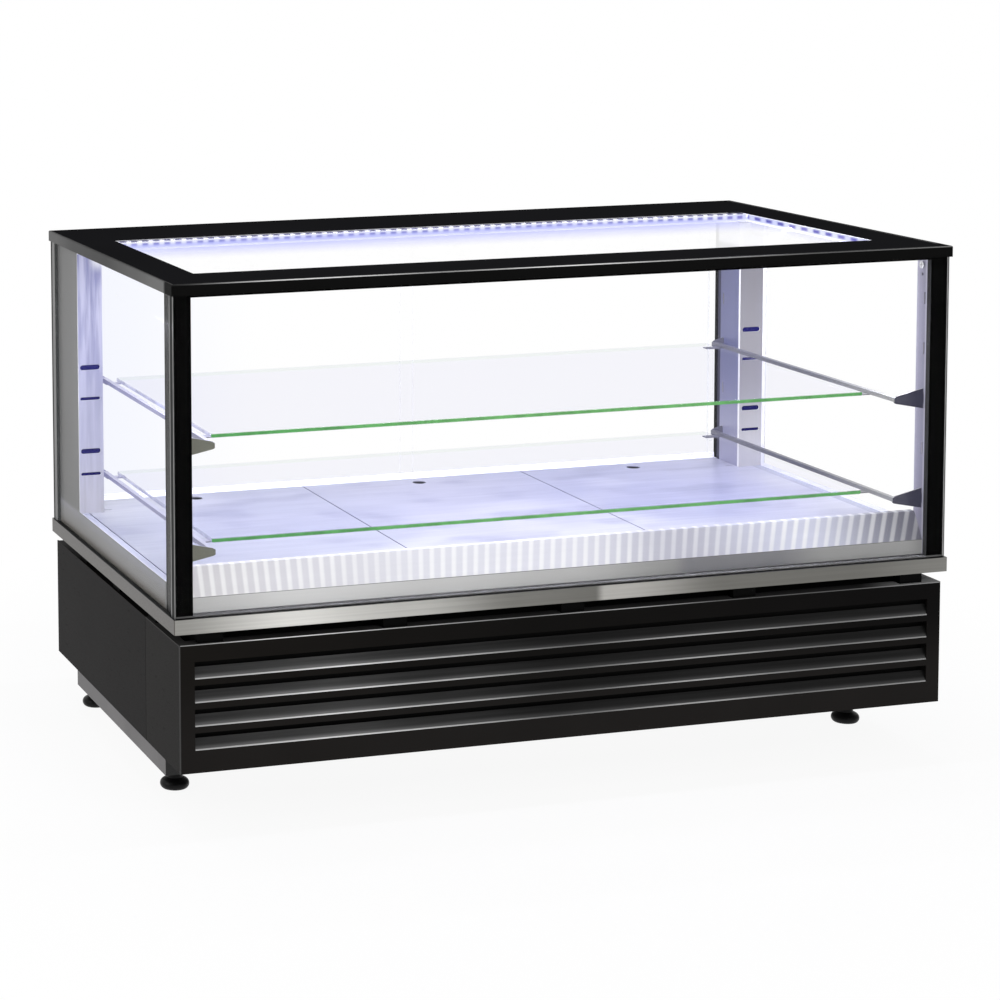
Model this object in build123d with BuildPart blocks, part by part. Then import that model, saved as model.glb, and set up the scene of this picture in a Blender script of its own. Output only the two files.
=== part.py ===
"""Countertop bakery display case, 1.2 m wide: louvred base, glass box, lit glass top.

Millimetres. +Z is up, -Y is the customer's side and +X is the customer's right.
The origin is the centre of the footprint, on the counter.
"""

from build123d import *

import os
from math import cos, radians, sin

os.makedirs("parts", exist_ok=True)

# ---------------------------------------------------------------- driving dimensions
WIDTH = 1200.0
DEPTH = 650.0
HEIGHT = 762.0

FOOT_HEIGHT = 30.0
BASE_BOTTOM = 78.0
BASE_TOP = 260.0
RIM_BOTTOM = 276.0
RIM_TOP = 297.0
DECK_TOP = 331.0
GLASS_TOP = 746.0

SHEET = 1.5
PANEL_SHEET = 2.0
PANE = 5.0
CLEAR = 0.5

HALF_W = WIDTH / 2
HALF_D = DEPTH / 2

# base panels
BASE_X = HALF_W - 8
BASE_FRONT = -HALF_D + 4
BASE_BACK = HALF_D - 2.5
RETURN_DEPTH = 160.0
FLANGE = 15.0
LOUVRE_COUNT = 4
LOUVRE_PITCH = 33.6
LOUVRE_FIRST = 111.0
LOUVRE_HEIGHT = 23.5
LOUVRE_X = 570.0
BLADE_DEPTH = 13.0

# chassis pan
PAN_X = 570.0
PAN_FRONT = -182.0
PAN_BACK = 290.0
FOOT_X = 545.0
FOOT_FRONT_Y = -145.0
FOOT_BACK_Y = 272.0
STUD_R = 5.0
RUNNING = 0.05

# tub and deck
RIM_OPENING_X = 556.0
RIM_OPENING_Y = 281.0
FOAM_BOTTOM = 222.0
FOAM = 24.0
DECK_X = 573.5
DECK_FRONT = -262.0
DECK_BACK = 276.0
SILL_FRONT = -294.0
SILL_LIP = 319.0
SILL_TOP = 356.0

# glass box
GLASS_X = HALF_W - 3
GLASS_FRONT = -HALF_D + 4
FRONT_UNIT = 20.0
FRONT_BORDER = 27.0
SIDE_BACK = 300.5
SIDE_BORDER_FRONT = 36.0
SIDE_BORDER_BACK = 187.0
SIDE_BORDER_TOP = 336.0
LEDGE = 26.0
TOP_OPENING_X = 535.0
TOP_OPENING_FRONT = -220.0
TOP_OPENING_BACK = 177.0

# shelves and their uprights
SHELF_X = 514.0
SHELF_FRONT = -231.0
SHELF_BACK = 244.0
SHELF_GLASS = 6.0
UPPER_SHELF = 528.0
LOWER_SHELF = 378.0
RAIL_X = 532.0
RAIL_WIDTH = 7.0
BRACKET_FRONT_Y = -290.0
BRACKET_BACK_Y = 251.0
BRACKET_SHEET = 2.0
FRONT_UPRIGHT_X = 577.0
BACK_UPRIGHT_X = 549.4
UPRIGHT_OUTER_X = 590.5
UPRIGHT_TOP = 739.0
BACK_UPRIGHT_Y = 196.0
SLOT_LEVELS = (381.0, 456.0, 531.0, 606.0, 681.0)

# rear doors
TRACK_FRONT = 280.0
TRACK_BACK = 319.0
POST_DEPTH = 24.0
INNER_DOOR_Y = 289.0
OUTER_DOOR_Y = 306.0
DOOR_BOTTOM = 324.0
DOOR_TOP = 736.0
DOOR_OVERLAP = 15.0
DOOR_EDGE_X = 571.0

# cooling machinery
CONDENSER_FAN_X = -150.0
CONDENSER_FAN_Z = 128.0
CONDENSER_FAN_R = 68.0
COIL_Y = -176.0
COMPRESSOR_X = 250.0
COMPRESSOR_Y = 60.0
EVAPORATOR_Y = 92.0
EVAPORATOR_FAN_Z = 288.0
EVAPORATOR_FAN_R = 30.0
DRAIN_X = -330.0
DRAIN_Y = 150.0

# operator's controls on the rear panel
CONTROLLER_X = -430.0
SWITCH_X = -330.0
INLET_X = 480.0
CONTROL_Z = 205.0
KEY_PITCH = 11.0
KEY_FIRST_X = CONTROLLER_X - 31.0
ROCKER_PITCH = 26.0
ROCKER_TILT = 8.0


# ---------------------------------------------------------------- helpers
def block(x0, x1, y0, y1, z0, z1, mode=Mode.ADD):
    """A straight block between two corners, added to or cut from the part in hand."""
    with BuildSketch(Plane.XY.offset(z0)) as profile:
        with Locations(((x0 + x1) / 2, (y0 + y1) / 2)):
            Rectangle(x1 - x0, y1 - y0)
    extrude(profile.sketch, amount=z1 - z0, mode=mode)


def both_sides(x0, x1, y0, y1, z0, z1, mode=Mode.ADD):
    """The same block on the right and, mirrored, on the left."""
    block(x0, x1, y0, y1, z0, z1, mode)
    block(-x1, -x0, y0, y1, z0, z1, mode)


def ring(outer_x, outer_y, inner_x, inner_y, z0, z1, mode=Mode.ADD):
    """A rectangular ring centred on the origin."""
    with BuildSketch(Plane.XY.offset(z0)) as profile:
        Rectangle(2 * outer_x, 2 * outer_y)
        Rectangle(2 * inner_x, 2 * inner_y, mode=Mode.SUBTRACT)
    extrude(profile.sketch, amount=z1 - z0, mode=mode)


def rod(centre, axis, radius, length, mode=Mode.ADD):
    """A round bar that starts at centre and runs along axis."""
    with BuildSketch(Plane(origin=centre, z_dir=axis)) as profile:
        Circle(radius)
    extrude(profile.sketch, amount=length, mode=mode)


def save(piece, label):
    """Labels a finished piece and writes its STEP file."""
    piece.label = label
    export_step(piece, f"parts/{label}.step")


# ---------------------------------------------------------------- base: pan and feet
FOOT_PLACES = {
    "foot_front_left": (-FOOT_X, FOOT_FRONT_Y),
    "foot_front_right": (FOOT_X, FOOT_FRONT_Y),
    "foot_back_left": (-FOOT_X, FOOT_BACK_Y),
    "foot_back_right": (FOOT_X, FOOT_BACK_Y),
}
BOSS_HEIGHT = 18.0

with BuildPart() as base_chassis:
    block(-PAN_X, PAN_X, PAN_FRONT, PAN_BACK, FOOT_HEIGHT, BASE_BOTTOM)
    block(
        -PAN_X + PANEL_SHEET,
        PAN_X - PANEL_SHEET,
        PAN_FRONT + PANEL_SHEET,
        PAN_BACK - PANEL_SHEET,
        FOOT_HEIGHT + PANEL_SHEET,
        BASE_BOTTOM,
        Mode.SUBTRACT,
    )
    # outward flanges that the side and rear panels stand on
    both_sides(PAN_X, BASE_X - 4, PAN_FRONT, PAN_BACK, BASE_BOTTOM - PANEL_SHEET, BASE_BOTTOM)
    block(-PAN_X, PAN_X, PAN_BACK, BASE_BACK - 4, BASE_BOTTOM - PANEL_SHEET, BASE_BOTTOM)
    for place in FOOT_PLACES.values():
        rod((*place, FOOT_HEIGHT), (0, 0, 1), 13, BOSS_HEIGHT)
        rod((*place, FOOT_HEIGHT), (0, 0, 1), STUD_R + RUNNING, BOSS_HEIGHT, Mode.SUBTRACT)
    # air slots in the floor behind the condenser
    with BuildSketch(Plane.XY.offset(FOOT_HEIGHT)) as floor_slots:
        with Locations((CONDENSER_FAN_X, 20)):
            with GridLocations(24, 90, 8, 2):
                SlotOverall(70, 10, rotation=90)
    extrude(floor_slots.sketch, amount=PANEL_SHEET, mode=Mode.SUBTRACT)
save(base_chassis.part, "base_chassis")

PAD_R = 20.0
NECK_R = 11.0
STUD_LENGTH = 32.0


def levelling_foot(x, y):
    """A domed pad with a hexagon neck and a stud that screws into the pan."""
    with BuildPart() as foot:
        with BuildSketch(Plane(origin=(x, y, 0), x_dir=(1, 0, 0), z_dir=(0, -1, 0))) as half:
            with BuildLine():
                Polyline((0, 0), (PAD_R - 2, 0))
                RadiusArc((PAD_R - 2, 0), (PAD_R - 3, 13), -7.5)
                Polyline((PAD_R - 3, 13), (NECK_R + 1, 16), (NECK_R, 22), (0, 22), (0, 0))
            make_face()
        revolve(half.sketch, axis=Axis((x, y, 0), (0, 0, 1)))
        with BuildSketch(Plane(origin=(x, y, 22))) as neck:
            RegularPolygon(NECK_R + 1, 6)
        extrude(neck.sketch, amount=FOOT_HEIGHT - 22)
        rod((x, y, FOOT_HEIGHT), (0, 0, 1), STUD_R, STUD_LENGTH)
    return foot.part


for foot_name, (foot_x, foot_y) in FOOT_PLACES.items():
    save(levelling_foot(foot_x, foot_y), foot_name)

# ---------------------------------------------------------------- base: panels
RETURN_BACK = BASE_FRONT + RETURN_DEPTH

with BuildPart() as front_fascia:
    block(-BASE_X, BASE_X, BASE_FRONT, BASE_FRONT + PANEL_SHEET, BASE_BOTTOM, BASE_TOP)
    both_sides(BASE_X - PANEL_SHEET, BASE_X, BASE_FRONT, RETURN_BACK, BASE_BOTTOM, BASE_TOP)
    fascia_corners = front_fascia.edges().filter_by(Axis.Z).group_by(Axis.Y)[0]
    fillet(fascia_corners, radius=1.2)
    # folded flanges along the top and bottom
    for flange_z in (BASE_BOTTOM, BASE_TOP - SHEET):
        block(
            -BASE_X + 1,
            BASE_X - 1,
            BASE_FRONT + 1,
            BASE_FRONT + 22,
            flange_z,
            flange_z + SHEET,
        )
        both_sides(
            BASE_X - FLANGE,
            BASE_X - 1,
            BASE_FRONT + 1,
            RETURN_BACK,
            flange_z,
            flange_z + SHEET,
        )
    for index in range(LOUVRE_COUNT):
        lip = LOUVRE_FIRST + index * LOUVRE_PITCH
        block(
            -LOUVRE_X,
            LOUVRE_X,
            BASE_FRONT,
            BASE_FRONT + PANEL_SHEET,
            lip,
            lip + LOUVRE_HEIGHT,
            Mode.SUBTRACT,
        )
        # a blade that climbs inwards from the lower lip of each opening
        with BuildSketch(Plane.YZ.offset(-LOUVRE_X - 4)) as blade:
            with BuildLine():
                Polyline(
                    (BASE_FRONT, lip - 1.6),
                    (BASE_FRONT, lip),
                    (BASE_FRONT + 1, lip + 1),
                    (BASE_FRONT + BLADE_DEPTH, lip + BLADE_DEPTH),
                    (BASE_FRONT + BLADE_DEPTH + 1.2, lip + BLADE_DEPTH - 1.2),
                    (BASE_FRONT + 2, lip - 1.6),
                    close=True,
                )
            make_face()
        extrude(blade.sketch, amount=2 * (LOUVRE_X + 4))
save(front_fascia.part, "front_fascia")


def side_panel(side):
    """The plain panel behind the fascia's return; side is -1 for left and 1 for right."""
    front, back = RETURN_BACK + 1, BASE_BACK + 1
    inner = side * (BASE_X - PANEL_SHEET)
    outer = side * BASE_X
    folded = side * (BASE_X - FLANGE)
    with BuildPart() as panel:
        block(min(inner, outer), max(inner, outer), front, back, BASE_BOTTOM, BASE_TOP)
        for flange_z in (BASE_BOTTOM, BASE_TOP - SHEET):
            block(
                min(folded, outer),
                max(folded, outer),
                front,
                back - 3,
                flange_z,
                flange_z + SHEET,
            )
        # joggled tongue that locates behind the fascia's return
        block(
            min(folded, folded + side * 3),
            max(folded, folded + side * 3),
            front,
            front + 20,
            BASE_BOTTOM,
            BASE_TOP,
        )
    return panel.part


save(side_panel(-1), "left_side_panel")
save(side_panel(1), "right_side_panel")

REAR_SCREWS = [(x, z) for x in (-560, -190, 190, 560) for z in (94, 246)]
SCREW_R = 2.0
BEZEL_W = 78.0
BEZEL_H = 34.0
SWITCH_W = 58.0
SWITCH_H = 30.0
INLET_W = 50.0
INLET_H = 24.0

with BuildPart() as rear_panel:
    block(
        -BASE_X + PANEL_SHEET + 1,
        BASE_X - PANEL_SHEET - 1,
        BASE_BACK - SHEET,
        BASE_BACK,
        BASE_BOTTOM + 2,
        BASE_TOP - 2,
    )
    with BuildSketch(Plane.XZ.offset(-BASE_BACK)) as rear_openings:
        with Locations((180, 150)):
            with GridLocations(150, 12, 2, 9):
                SlotOverall(130, 6)
        with Locations((-120, 150)):
            with GridLocations(150, 12, 2, 9):
                SlotOverall(130, 6)
        with Locations((CONTROLLER_X, CONTROL_Z)):
            Rectangle(BEZEL_W - 6, BEZEL_H - 5)
        with Locations((SWITCH_X, CONTROL_Z)):
            Rectangle(SWITCH_W - 5, SWITCH_H - 5)
        with Locations((INLET_X, 120)):
            Rectangle(INLET_W - 18, INLET_H)
        with Locations(REAR_SCREWS):
            Circle(SCREW_R + RUNNING)
    extrude(rear_openings.sketch, amount=3, both=True, mode=Mode.SUBTRACT)
save(rear_panel.part, "rear_panel")

# ---------------------------------------------------------------- band and spacers
with BuildPart() as rim_frame:
    ring(HALF_W, HALF_D, RIM_OPENING_X, RIM_OPENING_Y, RIM_BOTTOM, RIM_TOP)
    rim_corners = rim_frame.edges().filter_by(Axis.Z).group_by(SortBy.LENGTH)[-1]
    fillet([e for e in rim_corners if abs(e.center().X) > RIM_OPENING_X + 10], radius=2)
    ring(
        HALF_W - SHEET,
        HALF_D - SHEET,
        RIM_OPENING_X - 1,
        RIM_OPENING_Y - 1,
        RIM_BOTTOM + SHEET,
        RIM_TOP - SHEET,
        Mode.SUBTRACT,
    )
save(rim_frame.part, "rim_frame")

SPACER_DEPTH = 14.0
SPACER_X = (-545.0, -272.0, 0.0, 272.0, 545.0)
SPACER_SIDE_Y = (-180.0, 0.0, 180.0)

with BuildPart() as rim_spacers:
    for x in SPACER_X:
        block(x - 18, x + 18, BASE_FRONT + 5, BASE_FRONT + 5 + SPACER_DEPTH, BASE_TOP, RIM_BOTTOM)
    for y in SPACER_SIDE_Y:
        both_sides(BASE_X - SPACER_DEPTH, BASE_X - 4, y - 18, y + 18, BASE_TOP, RIM_BOTTOM)
save(rim_spacers.part, "rim_spacers")

# ---------------------------------------------------------------- insulated tub
FOAM_X = RIM_OPENING_X - 2
FOAM_Y = RIM_OPENING_Y - 2
LINER_X = FOAM_X - FOAM
LINER_Y = FOAM_Y - FOAM
LINER_FLOOR = FOAM_BOTTOM + FOAM
DRAIN_R = 9.0

with BuildPart() as tub_foam:
    block(-FOAM_X, FOAM_X, -FOAM_Y, FOAM_Y, FOAM_BOTTOM, RIM_TOP - SHEET)
    block(
        -LINER_X - CLEAR,
        LINER_X + CLEAR,
        -LINER_Y - CLEAR,
        LINER_Y + CLEAR,
        LINER_FLOOR,
        RIM_TOP,
        Mode.SUBTRACT,
    )
    rod((DRAIN_X, DRAIN_Y, FOAM_BOTTOM), (0, 0, 1), DRAIN_R + 3, FOAM, Mode.SUBTRACT)
    chamfer(tub_foam.faces().sort_by(Axis.Z)[0].outer_wire().edges(), length=6)
save(tub_foam.part, "tub_foam")

with BuildPart() as tub_liner:
    block(-LINER_X, LINER_X, -LINER_Y, LINER_Y, LINER_FLOOR + CLEAR, RIM_TOP)
    block(-DECK_X, DECK_X, SILL_FRONT - 4, TRACK_FRONT - 1, RIM_TOP, RIM_TOP + 1)
    block(
        -LINER_X + 1,
        LINER_X - 1,
        -LINER_Y + 1,
        LINER_Y - 1,
        LINER_FLOOR + CLEAR + 1,
        RIM_TOP + 1,
        Mode.SUBTRACT,
    )
    rod((DRAIN_X, DRAIN_Y, LINER_FLOOR), (0, 0, 1), DRAIN_R, 5, Mode.SUBTRACT)
save(tub_liner.part, "tub_liner")

TRAY_FLOOR = FOOT_HEIGHT + PANEL_SHEET + 2
TRAY_TOP = TRAY_FLOOR + 34

with BuildPart() as drain_hose:
    rod((DRAIN_X, DRAIN_Y, LINER_FLOOR + CLEAR), (0, 0, -1), DRAIN_R - 1, LINER_FLOOR - 60)
    rod((DRAIN_X, DRAIN_Y, FOAM_BOTTOM - 1), (0, 0, -1), DRAIN_R + 2, 12)
    rod((DRAIN_X, DRAIN_Y, LINER_FLOOR + 1), (0, 0, -1), DRAIN_R - 3, LINER_FLOOR - 40, Mode.SUBTRACT)
save(drain_hose.part, "drain_hose")

with BuildPart() as evaporation_tray:
    block(DRAIN_X - 130, DRAIN_X + 60, DRAIN_Y - 60, DRAIN_Y + 90, TRAY_FLOOR - 2, TRAY_TOP)
    fillet(evaporation_tray.edges().filter_by(Axis.Z), radius=12)
    block(
        DRAIN_X - 128,
        DRAIN_X + 58,
        DRAIN_Y - 58,
        DRAIN_Y + 88,
        TRAY_FLOOR,
        TRAY_TOP,
        Mode.SUBTRACT,
    )
save(evaporation_tray.part, "evaporation_tray")

# ---------------------------------------------------------------- deck and sill
PLATE_COUNT = 3
PLATE_GAP = 1.5
PLATE_WIDTH = (2 * DECK_X - (PLATE_COUNT - 1) * PLATE_GAP) / PLATE_COUNT
SUPPORT_TOP = DECK_TOP - SHEET

with BuildPart() as deck_support:
    support_mid = (DECK_FRONT + DECK_BACK) / 2
    support_half = (DECK_BACK - DECK_FRONT) / 2
    with BuildSketch(Plane.XY.offset(RIM_TOP + 1)) as wall:
        with Locations((0, support_mid)):
            Rectangle(2 * DECK_X, 2 * support_half)
            Rectangle(2 * DECK_X - 2 * SHEET, 2 * support_half - 2 * SHEET, mode=Mode.SUBTRACT)
    extrude(wall.sketch, amount=SUPPORT_TOP - RIM_TOP - 1)
    with BuildSketch(Plane.XY.offset(SUPPORT_TOP - SHEET)) as ledge:
        with Locations((0, support_mid)):
            Rectangle(2 * DECK_X, 2 * support_half)
            Rectangle(2 * DECK_X - 48, 2 * support_half - 28, mode=Mode.SUBTRACT)
    extrude(ledge.sketch, amount=SHEET)
    for seam in (-0.5, 0.5):
        seam_x = seam * (PLATE_WIDTH + PLATE_GAP)
        block(seam_x - 12, seam_x + 12, DECK_FRONT, DECK_BACK, SUPPORT_TOP - 14, SUPPORT_TOP)
save(deck_support.part, "deck_support")

with BuildPart() as deck_plates:
    for column in range(PLATE_COUNT):
        plate_x = -DECK_X + column * (PLATE_WIDTH + PLATE_GAP)
        block(plate_x, plate_x + PLATE_WIDTH, DECK_FRONT, DECK_BACK, SUPPORT_TOP, DECK_TOP)
        rod(
            (plate_x + PLATE_WIDTH / 2, DECK_BACK - 30, SUPPORT_TOP),
            (0, 0, 1),
            11,
            SHEET,
            Mode.SUBTRACT,
        )
    # corner notches round the rear uprights, and a slot beside each
    both_sides(
        BACK_UPRIGHT_X - 1, DECK_X, BACK_UPRIGHT_Y - 1, DECK_BACK, SUPPORT_TOP, DECK_TOP, Mode.SUBTRACT
    )
    both_sides(533, 547, 208, 212, SUPPORT_TOP, DECK_TOP, Mode.SUBTRACT)
save(deck_plates.part, "deck_plates")

with BuildPart() as front_sill:
    sill_foot = RIM_TOP + 1
    sill_x = FRONT_UPRIGHT_X - 1
    with BuildSketch(Plane.YZ.offset(-sill_x)) as sill_profile:
        with BuildLine() as sill_line:
            Polyline(
                (DECK_FRONT - 2, sill_foot),
                (DECK_FRONT - 2, SILL_TOP),
                (DECK_FRONT - 11, SILL_TOP),
                (SILL_FRONT, SILL_LIP),
                (SILL_FRONT, sill_foot),
            )
            offset(amount=SHEET, side=Side.RIGHT)
        make_face()
    extrude(sill_profile.sketch, amount=2 * sill_x)
save(front_sill.part, "front_sill")

# ---------------------------------------------------------------- glass box
with BuildPart() as front_glass_outer:
    block(-GLASS_X, GLASS_X, GLASS_FRONT, GLASS_FRONT + PANE, RIM_TOP, GLASS_TOP)
    chamfer(front_glass_outer.edges().filter_by(Axis.Z), length=0.8)
save(front_glass_outer.part, "front_glass_outer")

with BuildPart() as front_glass_inner:
    inner_face = GLASS_FRONT + FRONT_UNIT
    block(-GLASS_X, GLASS_X, inner_face - PANE, inner_face, RIM_TOP, GLASS_TOP)
    chamfer(front_glass_inner.edges().filter_by(Axis.Z), length=0.8)
save(front_glass_inner.part, "front_glass_inner")

with BuildPart() as front_glass_spacer:
    gap_front = GLASS_FRONT + PANE
    gap_back = GLASS_FRONT + FRONT_UNIT - PANE
    opening_x = GLASS_X - FRONT_BORDER
    block(-GLASS_X, GLASS_X, gap_front, gap_back, RIM_TOP, GLASS_TOP)
    block(-opening_x, opening_x, gap_front, gap_back, RIM_TOP + 1.5, GLASS_TOP - 4, Mode.SUBTRACT)
save(front_glass_spacer.part, "front_glass_spacer")

SIDE_FRONT = GLASS_FRONT + FRONT_UNIT + CLEAR

with BuildPart() as side_glasses:
    both_sides(GLASS_X - PANE, GLASS_X, SIDE_FRONT, SIDE_BACK, RIM_TOP, GLASS_TOP)
    chamfer(side_glasses.edges().filter_by(Axis.Z), length=0.6)
save(side_glasses.part, "side_glasses")

BORDER_SHEET = 1.0

with BuildPart() as side_glass_borders:
    border_out = GLASS_X - PANE
    border_in = border_out - BORDER_SHEET
    both_sides(border_in, border_out, SIDE_FRONT, SIDE_BACK, RIM_TOP, GLASS_TOP)
    both_sides(
        border_in,
        border_out,
        SIDE_FRONT + SIDE_BORDER_FRONT,
        SIDE_BORDER_BACK,
        SIDE_BORDER_TOP,
        GLASS_TOP - 4,
        Mode.SUBTRACT,
    )
save(side_glass_borders.part, "side_glass_borders")

TOP_PANE_BOTTOM = 755.0
TOP_PANE_TOP = TOP_PANE_BOTTOM + PANE
TOP_LIP = 4.0

with BuildPart() as top_frame:
    block(-HALF_W, HALF_W, -HALF_D, HALF_D, GLASS_TOP, HEIGHT)
    fillet(top_frame.edges().filter_by(Axis.Z), radius=1.5)
    chamfer(top_frame.faces().sort_by(Axis.Z)[-1].edges(), length=1.2)
    block(
        -HALF_W + LEDGE,
        HALF_W - LEDGE,
        -HALF_D + LEDGE,
        HALF_D - LEDGE,
        GLASS_TOP,
        HEIGHT,
        Mode.SUBTRACT,
    )
    block(
        -HALF_W + TOP_LIP,
        HALF_W - TOP_LIP,
        -HALF_D + TOP_LIP,
        HALF_D - TOP_LIP,
        TOP_PANE_BOTTOM,
        HEIGHT,
        Mode.SUBTRACT,
    )
save(top_frame.part, "top_frame")

with BuildPart() as top_glass:
    pane_x = HALF_W - TOP_LIP - CLEAR
    pane_y = HALF_D - TOP_LIP - CLEAR
    block(-pane_x, pane_x, -pane_y, pane_y, TOP_PANE_BOTTOM, TOP_PANE_TOP)
    fillet(top_glass.edges().filter_by(Axis.Z), radius=1)
save(top_glass.part, "top_glass")

with BuildPart() as top_glass_border:
    block(-pane_x, pane_x, -pane_y, pane_y, TOP_PANE_TOP, TOP_PANE_TOP + BORDER_SHEET)
    fillet(top_glass_border.edges().filter_by(Axis.Z), radius=1)
    block(
        -TOP_OPENING_X,
        TOP_OPENING_X,
        TOP_OPENING_FRONT,
        TOP_OPENING_BACK,
        TOP_PANE_TOP,
        TOP_PANE_TOP + BORDER_SHEET,
        Mode.SUBTRACT,
    )
save(top_glass_border.part, "top_glass_border")

LED_BOTTOM = 741.0
LED_BACK_Y = 200.0
LED_FRONT_Y = -262.0
LED_SIDE_X = 562.0
LED_BAR = 9.0

with BuildPart() as led_profiles:
    block(
        -LED_SIDE_X - LED_BAR,
        LED_SIDE_X + LED_BAR,
        LED_FRONT_Y - LED_BAR,
        LED_BACK_Y + LED_BAR,
        LED_BOTTOM,
        TOP_PANE_BOTTOM,
    )
    block(
        -LED_SIDE_X,
        LED_SIDE_X,
        LED_FRONT_Y,
        LED_BACK_Y,
        LED_BOTTOM,
        TOP_PANE_BOTTOM,
        Mode.SUBTRACT,
    )
    # a shallow groove all round that holds the light strips, facing inwards
    block(
        -LED_SIDE_X - 1,
        LED_SIDE_X + 1,
        LED_FRONT_Y - 1,
        LED_BACK_Y + 1,
        LED_BOTTOM + 2,
        TOP_PANE_BOTTOM - 2,
        Mode.SUBTRACT,
    )
save(led_profiles.part, "led_profiles")

# ---------------------------------------------------------------- uprights, rails, shelves
SIDE_SLOT_W = 3.0
SIDE_SLOT_H = 18.0
UPRIGHT_SCREW_Z = 730.0
UPRIGHT_SCREW_Y = -283.0
PILOT_R = 2.2
FRONT_SLOT_W = 32.0
THICK_SLOTS = (429.0, 561.0)
THIN_SLOTS = (393.0, 512.0)


def side_face_slots(side, face_x, y):
    """Vertical hook slots through an upright's inward face."""
    with BuildSketch(Plane.YZ.offset(side * face_x)) as slots:
        with Locations([(y, z) for z in SLOT_LEVELS]):
            Rectangle(SIDE_SLOT_W, SIDE_SLOT_H)
    extrude(slots.sketch, amount=2 * SHEET, both=True, mode=Mode.SUBTRACT)


with BuildPart() as front_uprights:
    upright_front = GLASS_FRONT + FRONT_UNIT + 2
    upright_back = -270.0
    both_sides(FRONT_UPRIGHT_X, UPRIGHT_OUTER_X, upright_front, upright_back, RIM_TOP, UPRIGHT_TOP)
    both_sides(
        FRONT_UPRIGHT_X + SHEET,
        UPRIGHT_OUTER_X,
        upright_front + SHEET,
        upright_back - SHEET,
        RIM_TOP,
        UPRIGHT_TOP,
        Mode.SUBTRACT,
    )
    for side in (-1, 1):
        side_face_slots(side, FRONT_UPRIGHT_X, BRACKET_FRONT_Y)
        rod(
            (side * (FRONT_UPRIGHT_X - 1), UPRIGHT_SCREW_Y, UPRIGHT_SCREW_Z),
            (side, 0, 0),
            SCREW_R + RUNNING,
            4,
            Mode.SUBTRACT,
        )
        rod(
            (side * (FRONT_UPRIGHT_X - 1), UPRIGHT_SCREW_Y, UPRIGHT_SCREW_Z - 14),
            (side, 0, 0),
            PILOT_R,
            4,
            Mode.SUBTRACT,
        )
save(front_uprights.part, "front_uprights")

with BuildPart() as rear_uprights:
    rear_edge = 269.0
    both_sides(
        BACK_UPRIGHT_X, UPRIGHT_OUTER_X, BACK_UPRIGHT_Y, rear_edge, SUPPORT_TOP, UPRIGHT_TOP
    )
    both_sides(
        BACK_UPRIGHT_X + SHEET,
        UPRIGHT_OUTER_X - SHEET,
        BACK_UPRIGHT_Y + SHEET,
        rear_edge,
        SUPPORT_TOP,
        UPRIGHT_TOP,
        Mode.SUBTRACT,
    )
    for side in (-1, 1):
        side_face_slots(side, BACK_UPRIGHT_X, BRACKET_BACK_Y)
        with BuildSketch(Plane.XZ.offset(-BACK_UPRIGHT_Y)) as face_slots:
            slot_x = side * (BACK_UPRIGHT_X + UPRIGHT_OUTER_X) / 2
            with Locations([(slot_x, z) for z in THICK_SLOTS]):
                SlotOverall(FRONT_SLOT_W, 8)
            with Locations([(slot_x, z) for z in THIN_SLOTS]):
                SlotOverall(FRONT_SLOT_W, 5)
        extrude(face_slots.sketch, amount=2 * SHEET, both=True, mode=Mode.SUBTRACT)
save(rear_uprights.part, "rear_uprights")


def bracket(side, shelf_z, root_x, y, root_below, root_above):
    """A triangular plate from the upright's face in to the rail, with a hook tab."""
    level = shelf_z + SHELF_GLASS / 2
    tip = RAIL_X - RAIL_WIDTH / 2
    with BuildSketch(Plane.XZ.offset(-y - BRACKET_SHEET / 2)) as outline:
        with BuildLine():
            Polyline(
                (side * (root_x - CLEAR), level - root_below),
                (side * (root_x - CLEAR), level - 7),
                (side * (root_x + 3), level - 7),
                (side * (root_x + 3), level + 7),
                (side * (root_x - CLEAR), level + 7),
                (side * (root_x - CLEAR), level + root_above),
                (side * (tip + 4), level + 5),
                (side * tip, level + 2),
                (side * tip, level - 4.5),
                (side * (tip + 3), level - 6),
                close=True,
            )
        make_face()
    extrude(outline.sketch, amount=BRACKET_SHEET)


def shelf_rails(shelf_z):
    """The left and right rails of one shelf, with brackets, and tabs under the glass."""
    with BuildPart() as rails:
        for side in (-1, 1):
            rail_in = side * (RAIL_X - RAIL_WIDTH / 2)
            rail_out = side * (RAIL_X + RAIL_WIDTH / 2)
            block(
                min(rail_in, rail_out),
                max(rail_in, rail_out),
                BRACKET_FRONT_Y,
                BRACKET_BACK_Y,
                shelf_z,
                shelf_z + SHELF_GLASS,
            )
            bracket(side, shelf_z, FRONT_UPRIGHT_X, BRACKET_FRONT_Y, 15, 15)
            bracket(side, shelf_z, BACK_UPRIGHT_X, BRACKET_BACK_Y, 10, 9)
            for tab_y in (SHELF_FRONT + 10, SHELF_BACK - 20):
                block(
                    min(side * (SHELF_X - 9), rail_out),
                    max(side * (SHELF_X - 9), rail_out),
                    tab_y,
                    tab_y + 14,
                    shelf_z - SHEET,
                    shelf_z,
                )
    return rails.part


save(shelf_rails(UPPER_SHELF), "upper_shelf_rails")
save(shelf_rails(LOWER_SHELF), "lower_shelf_rails")


def shelf_pane(shelf_z):
    """A toughened glass shelf with polished edges."""
    with BuildPart() as pane:
        block(-SHELF_X, SHELF_X, SHELF_FRONT, SHELF_BACK, shelf_z, shelf_z + SHELF_GLASS)
        fillet(pane.edges().filter_by(Axis.Z), radius=4)
        chamfer(pane.faces().sort_by(Axis.Z)[-1].edges(), length=0.8)
        chamfer(pane.faces().sort_by(Axis.Z)[0].edges(), length=0.8)
    return pane.part


save(shelf_pane(UPPER_SHELF), "upper_shelf")
save(shelf_pane(LOWER_SHELF), "lower_shelf")

# ---------------------------------------------------------------- rear doors
GROOVE = 8.0
TRACK_HEIGHT = 34.0
TRACK_X = 572.5

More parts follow.
